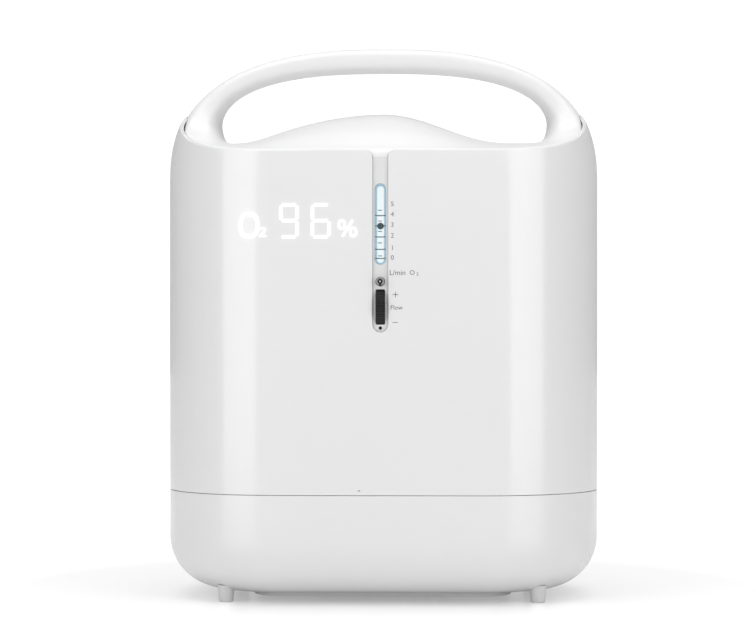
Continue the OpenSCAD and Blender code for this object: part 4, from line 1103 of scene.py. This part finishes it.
@dataclass
class FlowMeter:
    """The strip in the slot: flow tube, float, outlet and thumbwheel."""

    refiner: Refiner
    strip_y: float = -117.8
    recess: float = 0.65
    half: float = 4.4
    low: float = 275.7
    high: float = 340.7
    bowl_depth: float = 8.4
    majors: tuple[float, ...] = (315.4, 307.1, 298.2, 288.2, 280.9)
    minors: tuple[float, ...] = (319.7, 302.7, 293.4, 282.9)
    red: float = 311.0
    outlet_z: float = 262.0
    pin_z: float = 224.7

    def bowl(self) -> Object:
        """Builds the bore that carries the painted glow: half of a long oval, open to the front."""
        deselect()
        bpy.ops.mesh.primitive_uv_sphere_add(segments=40, ring_count=20, radius=self.half * MM)
        obj = named(bpy.context.active_object, "bowl")
        middle = (self.low + self.high) / 2
        reach = (self.high - self.low) / 2 - self.half
        mark(obj, points=lambda v: v.co.z > 0.01 * MM)
        for vertex in obj.data.vertices:
            lift = reach if vertex.select else (-reach if vertex.co.z < -0.01 * MM else 0)
            x, y, z = vertex.co
            vertex.co = Vector((x, y * self.bowl_depth / self.half, z + lift * MM))
        enter(obj)
        bpy.ops.mesh.select_all(action="SELECT")
        bpy.ops.mesh.bisect(plane_co=(0, 0, 0), plane_no=(0, 1, 0), clear_inner=True)
        bpy.ops.mesh.select_all(action="SELECT")
        bpy.ops.mesh.normals_make_consistent(inside=True)
        bpy.ops.transform.translate(value=(0, (self.strip_y + self.recess) * MM, middle * MM))
        leave()
        finish_with(obj, "SOLIDIFY", thickness=0.3 * MM, offset=-1)
        return adopt(smooth(obj, 60), "flow_tube_bore", TUBE_PAINTED_GLOW, "clear_tube", "cabinet", "flow_tube")

    def lens(self) -> Object:
        """Builds the clear window in front of the bore."""
        obj = plate("lens", capsule(self.half - 0.06, self.low + 0.06, self.high - 0.06, 16),
                    self.strip_y - 0.1, self.strip_y + 0.45)
        return adopt(rounded(obj, 0.18, 50, 2), "flow_tube_window", CLEAR, "clear_tube", "cabinet", "flow_tube")

    def block(self) -> Object:
        """Builds the moulded block that carries the bore, behind the strip."""
        obj = plate("block", box_outline(-9, 9, self.low - 5, self.high + 5, 1.5), -107.9, -104.4)
        mark(obj, faces=lambda f: f.normal.y < -0.9)
        enter(obj)
        bpy.ops.mesh.inset(thickness=1.4 * MM)
        bpy.ops.mesh.extrude_region_move(TRANSFORM_OT_translate={"value": (0, 0.6 * MM, 0)})
        leave()
        return adopt(rounded(obj, 0.25), "flow_tube_block", LIGHT, "clear_tube", "cabinet", "flow_tube")

    def major(self, z: float, name: str) -> Object:
        """Builds a full mark: a fine band that follows the bore."""
        steps, tall = 20, 0.85

        def place(i: int, j: int) -> Point:
            """A point of the band."""
            a = math.pi * (0.02 + 0.96 * i / steps)
            r = 0.992
            y = self.strip_y + self.recess + self.bowl_depth * r * math.sin(a) - 0.05
            return self.half * r * math.cos(a), y, z + tall * (j - 0.5)

        obj = wrapped(name, steps, 1, place)
        finish_with(obj, "SOLIDIFY", thickness=0.12 * MM, offset=0)
        return weld(obj)

    def minor(self, z: float, name: str) -> Object:
        """Builds a short mark at the back of the bore."""
        back = self.strip_y + self.recess + self.bowl_depth
        obj = plate(name, box_outline(-2.1, 1.15, z - 0.33, z + 0.33, 0.15, 2), back - 1.35, back - 1.1)
        return rounded(obj, 0.04, 50, 1)

    def marks(self) -> None:
        """Builds the scale of the tube."""
        parts = [self.major(z, f"major_{k}") for k, z in enumerate(self.majors)]
        parts += [self.minor(z, f"minor_{k}") for k, z in enumerate(self.minors)]
        adopt(joined("marks", *parts), "tube_marks", TICK_INK, "black_plastic", "cabinet")
        adopt(self.minor(self.red, "red"), "tube_mark_set_point", RED_INK, "black_plastic", "cabinet")

    def outlet(self) -> Object:
        """Turns the metal outlet spigot with its flange, bead and bore."""
        profile = [(1.25, -126.4), (1.6, -126.9), (2.1, -127.0), (2.9, -125.7), (3.0, -125.3), (3.0, -124.4),
                   (2.75, -124.0), (2.75, -123.2), (3.0, -122.8), (3.0, -120.2), (2.8, -119.9), (2.8, -119.5),
                   (3.05, -119.2), (3.3, -118.95), (3.6, -119.0), (3.88, -118.7), (3.95, -118.4),
                   (3.95, -117.8), (2.9, -117.75), (2.9, -105.0), (2.0, -104.9), (2.0, -96.9), (1.25, -96.9)]
        obj = turned("outlet", profile, (0, 0, self.outlet_z), steps=56)
        smooth(obj, 28)
        ring = turned("ring", [(1.0, -126.0), (1.0, -127.0), (2.2, -127.0), (2.2, -126.0)],
                      (0, 0, self.outlet_z))
        tip = turned("tip", [(0.0, -126.9), (0.6, -126.8), (0.85, -126.4), (0.85, -124), (0, -124)],
                     (0, 0, self.outlet_z), steps=24)
        adopt(rounded(ring, 0.15, 50, 2), "outlet_seal", PORT_DARK, "black_plastic", "cabinet", "outlet_nozzle")
        adopt(smooth(tip, 50), "outlet_valve_tip", STEEL, "steel", "cabinet", "outlet_nozzle")
        return adopt(obj, "oxygen_outlet", NICKEL, "steel", "cabinet", "outlet_nozzle")

    def sensor(self) -> Object:
        """Turns the near-black cup behind the pinhole; its dark colour is painted shade of the hole."""
        profile = [(0.0, -115.4), (0.9, -115.5), (1.25, -116.2), (1.36, -117.2), (1.5, -117.2), (1.5, -114.9),
                   (0.0, -114.9)]
        obj = turned("sensor", profile, (0, 0, self.pin_z), steps=24)
        # Painted shade: the near-black cup makes the pinhole read dark.
        return adopt(smooth(obj, 40), "pinhole_shade_cup", PORT_DARK, "black_plastic", "cabinet")

    def build(self) -> None:
        """Builds every piece of the strip."""
        refine = self.refiner.refine
        refine("control_strip", STRIP, "strip_white", "cabinet", 0.35)
        self.bowl()
        self.block()
        self.marks()
        self.lens()
        refine("float_ball", GLOSS_BLACK, "black_plastic", "float", 0, 60)
        refine("flow_wheel", WHEEL, "black_plastic", "flow_wheel", 0.16, 30)
        self.outlet()
        self.sensor()


@dataclass
class FrontPrint:
    """The grey figures beside the tube and the small dark patch above the seam, painted shade of a notch."""

    form: CabinetForm
    thick: float = 0.05
    scale_x: float = 9.7
    scale_z: tuple[float, ...] = (281.3, 289.0, 299.0, 307.6, 316.1, 324.3)
    scale_tall: float = 3.7
    labels: tuple[tuple[str, str, float, float, float], ...] = (
        ("unit_label", "L/min", 13.9, 269.2, 4.1), ("gas_label", "O", 25.6, 269.2, 3.7),
        ("gas_number", "2", 29.8, 268.0, 2.6), ("flow_label", "Flow", 13.2, 241.2, 3.5))

    def words(self, name: str, text: str, x: float, z: float, tall: float) -> Object:
        """Sets a word as a flat raised print.

        Args:
            name: the piece's name.
            text: what it says.
            x: the middle of the word.
            z: the middle of its height.
            tall: its height in mm.

        Returns:
            The new object.
        """
        deselect()
        bpy.ops.object.text_add()
        obj = bpy.context.active_object
        obj.data.body = text
        obj.data.size = 1.0
        obj.data.extrude = 0.02
        obj.data.resolution_u = 6
        bpy.ops.object.convert(target="MESH")
        named(obj, name)
        xs = [v.co.x for v in obj.data.vertices]
        ys = [v.co.y for v in obj.data.vertices]
        scale = tall / (max(ys) - min(ys))
        mid_x, mid_y = (max(xs) + min(xs)) / 2, (max(ys) + min(ys)) / 2
        for vertex in obj.data.vertices:
            dx, dy = (vertex.co.x - mid_x) * scale, (vertex.co.y - mid_y) * scale
            lift = self.thick if vertex.co.z > 0 else -0.02
            vertex.co = Vector((x + dx, self.form.front_y(x + dx) - lift, z + dy)) * MM
        return weld(obj, 0.001)

    def build(self) -> None:
        """Sets all the words and the two signs."""
        scale = tuple((f"scale_{k}", str(k), self.scale_x, self.scale_z[k], self.scale_tall)
                      for k in reversed(range(len(self.scale_z))))
        for label in scale + self.labels:
            adopt(self.words(*label), label[0], INK, "black_plastic", "cabinet")
        y = self.form.front_y(0)
        bars = {"plus_bar": (9.95, 14.45, 251.25, 251.75), "plus_stem": (11.95, 12.45, 249.25, 253.75),
                "minus_bar": (9.95, 14.05, 228.95, 229.45)}
        made = {name: rounded(plate(name, box_outline(*sides, 0.1, 2), y - self.thick, y + 0.02), 0.02, 50, 1)
                for name, sides in bars.items()}
        adopt(joined("plus", made["plus_bar"], made["plus_stem"]), "plus_sign", INK, "black_plastic", "cabinet")
        adopt(made["minus_bar"], "minus_sign", INK, "black_plastic", "cabinet")
        # Painted shade: a flat near-black patch stands for the shade in a small notch above the seam.
        window = plate("window", box_outline(-18.1, -16.0, 93.7, 94.3, 0.29, 4), y - 0.06, y + 0.3)
        adopt(rounded(window, 0.04, 50, 1), "indicator_window", PORT_DARK, "black_plastic", "cabinet")


Stroke = tuple[Flat, Flat, float]


@dataclass
class Display:
    """The purity figures that shine through the shell."""

    form: CabinetForm
    x0: float = -127.0
    x1: float = -11.0
    z0: float = 283.0
    z1: float = 339.0
    step: float = 0.62
    half_stroke: float = 1.25
    reach: float = 2.2
    halo: float = 0.06
    soft_edge: float = 0.9
    rows: tuple[float, float, float] = (323.7, 310.9, 297.9)

    def figure(self, left: float, right: float, bars: str) -> list[Stroke]:
        """The strokes of a seven-bar figure.

        Args:
            left: the left bars' middle line.
            right: the right bars' middle line.
            bars: which bars shine, from a to g.

        Returns:
            Strokes, each as two ends and half its width.
        """
        top, middle, bottom = self.rows
        g, h = 2.1, 1.95
        ends = {"a": ((left + g, top), (right - g, top)), "b": ((right, top - h), (right, middle + h)),
                "c": ((right, middle - h), (right, bottom + h)), "d": ((left + g, bottom), (right - g, bottom)),
                "e": ((left, middle - h), (left, bottom + h)), "f": ((left, top - h), (left, middle + h)),
                "g": ((left + g, middle), (right - g, middle))}
        return [(*ends[bar], self.half_stroke) for bar in bars]

    def ring(self, x: float, z: float, w: float, h: float, power: float, half: float) -> list[Stroke]:
        """The strokes of an oval ring about (x, z) with half sizes w and h."""
        points = []
        for k in range(40):
            a = math.tau * k / 40
            c, s = math.cos(a), math.sin(a)
            points.append((x + w * math.copysign(abs(c) ** (2 / power), c), z + h * math.copysign(
                abs(s) ** (2 / power), s)))
        return [(points[k], points[(k + 1) % 40], half) for k in range(40)]

    def strokes(self) -> list[Stroke]:
        """All the strokes of the display."""
        found = self.figure(-80.0, -66.9, "abcdfg") + self.figure(-54.5, -41.1, "acdefg")
        found += self.ring(-105.8, 307.5, 7.05, 9.06, 2.5, 1.5)
        two = [(-96.9, 303.9), (-95.6, 305.0), (-93.6, 305.0), (-92.6, 303.9), (-92.9, 302.6), (-96.9, 298.7),
               (-92.3, 298.7)]
        found += [(two[k], two[k + 1], 0.85) for k in range(len(two) - 1)]
        found += self.ring(-30.9, 307.7, 2.3, 3.2, 2.4, 0.95) + self.ring(-21.7, 301.7, 2.3, 3.2, 2.4, 0.95)
        return found + [((-29.9, 298.9), (-22.6, 310.6), 1.05)]

    def light(self, x: float, z: float, strokes: Iterable[Stroke]) -> float:
        """How much light comes through at a place: full in a stroke, and a soft halo round it."""
        best, glow = 0.0, 0.0
        for (ax, az), (bx, bz), half in strokes:
            if not (min(ax, bx) - 9 < x < max(ax, bx) + 9 and min(az, bz) - 9 < z < max(az, bz) + 9):
                continue
            dx, dz = bx - ax, bz - az
            t = max(0.0, min(1.0, ((x - ax) * dx + (z - az) * dz) / (dx * dx + dz * dz)))
            far = math.hypot(x - ax - t * dx, z - az - t * dz) - half
            best = max(best, min(1.0, max(0.0, 0.5 - far / self.soft_edge)))
            glow = max(glow, math.exp(-max(far, 0.0) / self.reach))
        return best + (1 - best) * self.halo * glow

    def build(self) -> None:
        """Builds the thin window over the display and stores the light in it."""
        columns = round((self.x1 - self.x0) / self.step)
        rows = round((self.z1 - self.z0) / self.step)

        def place(i: int, j: int) -> Point:
            """A point of the window."""
            x = self.x0 + (self.x1 - self.x0) * i / columns
            return x, self.form.front_y(x) - 0.05, self.z0 + (self.z1 - self.z0) * j / rows

        obj = wrapped("display_window", columns, rows, place)
        strokes = self.strokes()
        layer = obj.data.attributes.new("glow", "FLOAT", "POINT")
        for vertex in obj.data.vertices:
            layer.data[vertex.index].value = self.light(vertex.co.x / MM, vertex.co.z / MM, strokes)
        finish_with(obj, "SOLIDIFY", thickness=0.04 * MM, offset=-1)
        adopt(smooth(obj, 60), "display_window", DISPLAY, "white_gloss", "cabinet")


# ------------------------------------------------------------------ the rear, the underside and the inside


@dataclass
class RearPanel:
    """The rear cover with its grille, filter door, humidifier bay and mains panel."""

    refiner: Refiner

    def build(self) -> None:
        """Refines the pieces that one sees or reaches from behind."""
        refine = self.refiner.refine
        refine("rear_cover", SHELL, "white_gloss", "cabinet", 0.45)
        refine("cover_screws", STEEL, "steel", "cabinet", 0.18)
        refine("cabinet_grille", SHELL, "white_gloss", "grille", 0.4)
        refine("cabinet_filter", FOAM, "foam_grey", "grille", 0.8, segments=2)
        refine("filter_door", SHELL, "white_gloss", "intake_door", 0.35)
        refine("hepa_filter", PAPER, "filter_paper", "cabinet", 0.2)
        refine("humidifier_bay", STRIP, "strip_white", "cabinet", 0.5)
        refine("humidifier_bottle", BOTTLE, "bottle_clear", "bottle", 0.5)
        refine("humidifier_cap", BLUE, "cap_blue", "bottle_cap", 0.3)
        refine("power_inlet", BLACK, "black_plastic", "cabinet", 0.4)
        refine("switch_frame", BLACK, "black_plastic", "cabinet", 0.35)
        refine("power_rocker", GREEN, "rocker_green", "rocker", 0.4)


@dataclass
class Underside:
    """The plate under the base, the four feet and their screws."""

    refiner: Refiner
    form: CabinetForm
    places: tuple[Flat, ...] = ((-128, -75), (128, -75), (-128, 75), (128, 75))

    def build(self) -> None:
        """Turns one foot, copies it to the four corners and refines the rest."""
        profile = [(2.3, 6.0), (4.2, 6.0), (4.2, 0.5), (4.7, 0.0), (5.2, 0.0), (5.75, 0.25), (6.0, 0.8),
                   (6.18, 3.0), (6.5, 6.5), (6.75, 9.5), (7.0, 13.6), (6.6, 14.0), (2.3, 14.0)]
        first = turned("foot", profile, (*self.places[0], 0), "Z", 40)
        x0, y0 = self.places[0]
        twins = [copy_of(first, f"foot_{k}", (x - x0, y - y0, 0)) for k, (x, y) in enumerate(self.places[1:])]
        feet = smooth(joined("feet_all", first, *twins), 35)
        adopt(feet, "feet_piece", STRIP, "white_gloss", "cabinet", "feet")
        self.refiner.refine("underside_plate", STRIP, "white_gloss", "cabinet", 0.6)
        self.refiner.refine("foot_screws", STEEL, "steel", "cabinet", 0.15)


@dataclass
class Interior:
    """What works inside the cabinet: compressor, sieve beds, valves, cooling and boards."""

    refiner: Refiner
    finishes: dict[Finish, tuple[str, ...]] = field(default_factory=lambda: {
        BRASS: ("tube_barbs", "valve_body", "shaft_bearings"),
        STEEL: ("valve_needle", "crank_shaft", "piston_left", "piston_right", "valve_plunger_left",
                "valve_plunger_right"),
        BLACK: ("wheel_bracket", "shaft_fans", "fan_frame", "fan_rotor", "base_tray"),
        CAST: ("crankcases", "cylinders", "cylinder_heads", "compressor_cradle", "valve_block", "bed_manifold",
               "motor_housing"),
        IRON: ("motor_rotor",),
        RUBBER: ("rubber_mounts",),
        VESSEL: ("sieve_bed_left", "sieve_bed_right", "product_tank", "upper_deck", "deck_pillars"),
        BOARD: ("display_board", "control_board", "power_supply"),
        LIGHT: ("display_segments",),
        COPPER: ("heat_exchanger",),
        BLUE: ("pressure_regulator", "capacitor"),
        SILICONE: ("hoses",),
    })

    def build(self) -> None:
        """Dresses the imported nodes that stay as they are."""
        for finish, names in self.finishes.items():
            self.refiner.dress(finish, *names)


# ------------------------------------------------------------------ the studio


@dataclass
class Studio:
    """The floor, the soft lights, the pale surroundings and the camera."""

    lens: float = 111.67
    eye: Point = (0.05, -2.0, 0.216)
    yaw: float = 1.578
    rise: float = 0.025
    surround: float = 0.50
    flag: float = 0.8
    floor_glow: tuple[float, float] = (0.27, 1.0)
    floor_bounce: float = 0.25
    lights: tuple[tuple[str, Point, Flat, float], ...] = (
        ("left_softbox", (-1.45, -1.45, 0.7), (1.25, 1.9), 13.5),
        ("right_softbox", (1.495, -1.40, 0.7), (1.25, 1.9), 13.5),
        ("top_softbox", (0.0, -0.1, 2.1), (2.4, 2.0), 28.0))

    def floor(self) -> None:
        """Lays a plain white floor with a faint gloss."""
        deselect()
        bpy.ops.mesh.primitive_plane_add(size=24)
        obj = named(bpy.context.active_object, "studio_floor")
        made = bpy.data.materials.new("floor_white")
        made.use_nodes = True
        shader = made.node_tree.nodes["Principled BSDF"]
        shader.inputs["Base Color"].default_value = (0.92, 0.92, 0.92, 1)
        shader.inputs["Roughness"].default_value = 0.22
        shader.inputs["Specular IOR Level"].default_value = 0.35
        shader.inputs["Emission Color"].default_value = (1, 1, 1, 1)
        tree = made.node_tree
        far = tree.nodes.new("ShaderNodeVectorMath")
        far.operation = "LENGTH"
        tree.links.new(tree.nodes.new("ShaderNodeTexCoord").outputs["Object"], far.inputs[0])
        glow = spread(tree, far.outputs["Value"], *self.floor_glow, 0.32, 0.9)
        eye = tree.nodes.new("ShaderNodeLightPath").outputs["Is Camera Ray"]
        seen = product(tree, glow, spread(tree, eye, self.floor_bounce, 1.0, 0.0, 1.0))
        tree.links.new(seen, shader.inputs["Emission Strength"])
        obj.data.materials.append(made)

    def sky(self) -> None:
        """Makes the surroundings: white to the eye, softer as a light."""
        world = bpy.data.worlds.new("surroundings")
        bpy.context.scene.world = world
        world.use_nodes = True
        tree = world.node_tree
        back = tree.nodes["Background"]
        back.inputs["Color"].default_value = (1, 1, 1, 1)
        split = tree.nodes.new("ShaderNodeSeparateXYZ")
        tree.links.new(tree.nodes.new("ShaderNodeTexCoord").outputs["Generated"], split.inputs[0])
        side = product(tree, split.outputs["X"], split.outputs["X"])
        tree.links.new(spread(tree, side, self.surround, self.surround * (1 - self.flag), 0.1, 0.9),
                       back.inputs["Strength"])
        bright = tree.nodes.new("ShaderNodeBackground")
        bright.inputs["Strength"].default_value = 1.1
        bright.inputs["Color"].default_value = (1, 1, 1, 1)
        path = tree.nodes.new("ShaderNodeLightPath")
        mix = tree.nodes.new("ShaderNodeMixShader")
        tree.links.new(path.outputs["Is Camera Ray"], mix.inputs["Fac"])
        tree.links.new(back.outputs[0], mix.inputs[1])
        tree.links.new(bright.outputs[0], mix.inputs[2])
        tree.links.new(mix.outputs[0], tree.nodes["World Output"].inputs["Surface"])

    def lamps(self) -> None:
        """Hangs the soft boxes, each turned to the middle of the cabinet."""
        aim = Vector((0, 0, 0.22))
        for name, place, size, power in self.lights:
            data = bpy.data.lights.new(name, "AREA")
            data.shape, data.size, data.size_y, data.energy = "RECTANGLE", size[0], size[1], power
            lamp = bpy.data.objects.new(name, data)
            lamp.location = place
            lamp.rotation_euler = (aim - Vector(place)).to_track_quat("-Z", "Y").to_euler()
            bpy.context.scene.collection.objects.link(lamp)

    def camera(self) -> None:
        """Sets the camera, level and a little off the middle."""
        data = bpy.data.cameras.new("camera")
        data.lens, data.sensor_width, data.shift_y = self.lens, 36.0, self.rise
        data.clip_start, data.clip_end = 0.05, 50
        obj = bpy.data.objects.new("camera", data)
        obj.location = self.eye
        obj.rotation_euler = (math.pi / 2, 0, math.radians(self.yaw))
        bpy.context.scene.collection.objects.link(obj)
        bpy.context.scene.camera = obj

    def build(self) -> None:
        """Builds the whole studio."""
        bpy.context.scene.view_settings.view_transform = "Standard"
        self.camera()
        self.floor()
        self.sky()
        self.lamps()


def main() -> None:
    """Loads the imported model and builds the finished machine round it."""
    logging.basicConfig(level=logging.INFO, format="%(name)s %(message)s")
    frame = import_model()
    form = CabinetForm()
    refiner = Refiner(frame["nodes"])
    Studio().build()
    OuterShells(form).build()
    CarryingCover(form).build()
    FlowMeter(refiner).build()
    FrontPrint(form).build()
    Display(form).build()
    RearPanel(refiner).build()
    Underside(refiner, form).build()
    Interior(refiner).build()


if __name__ == "__main__":
    main()
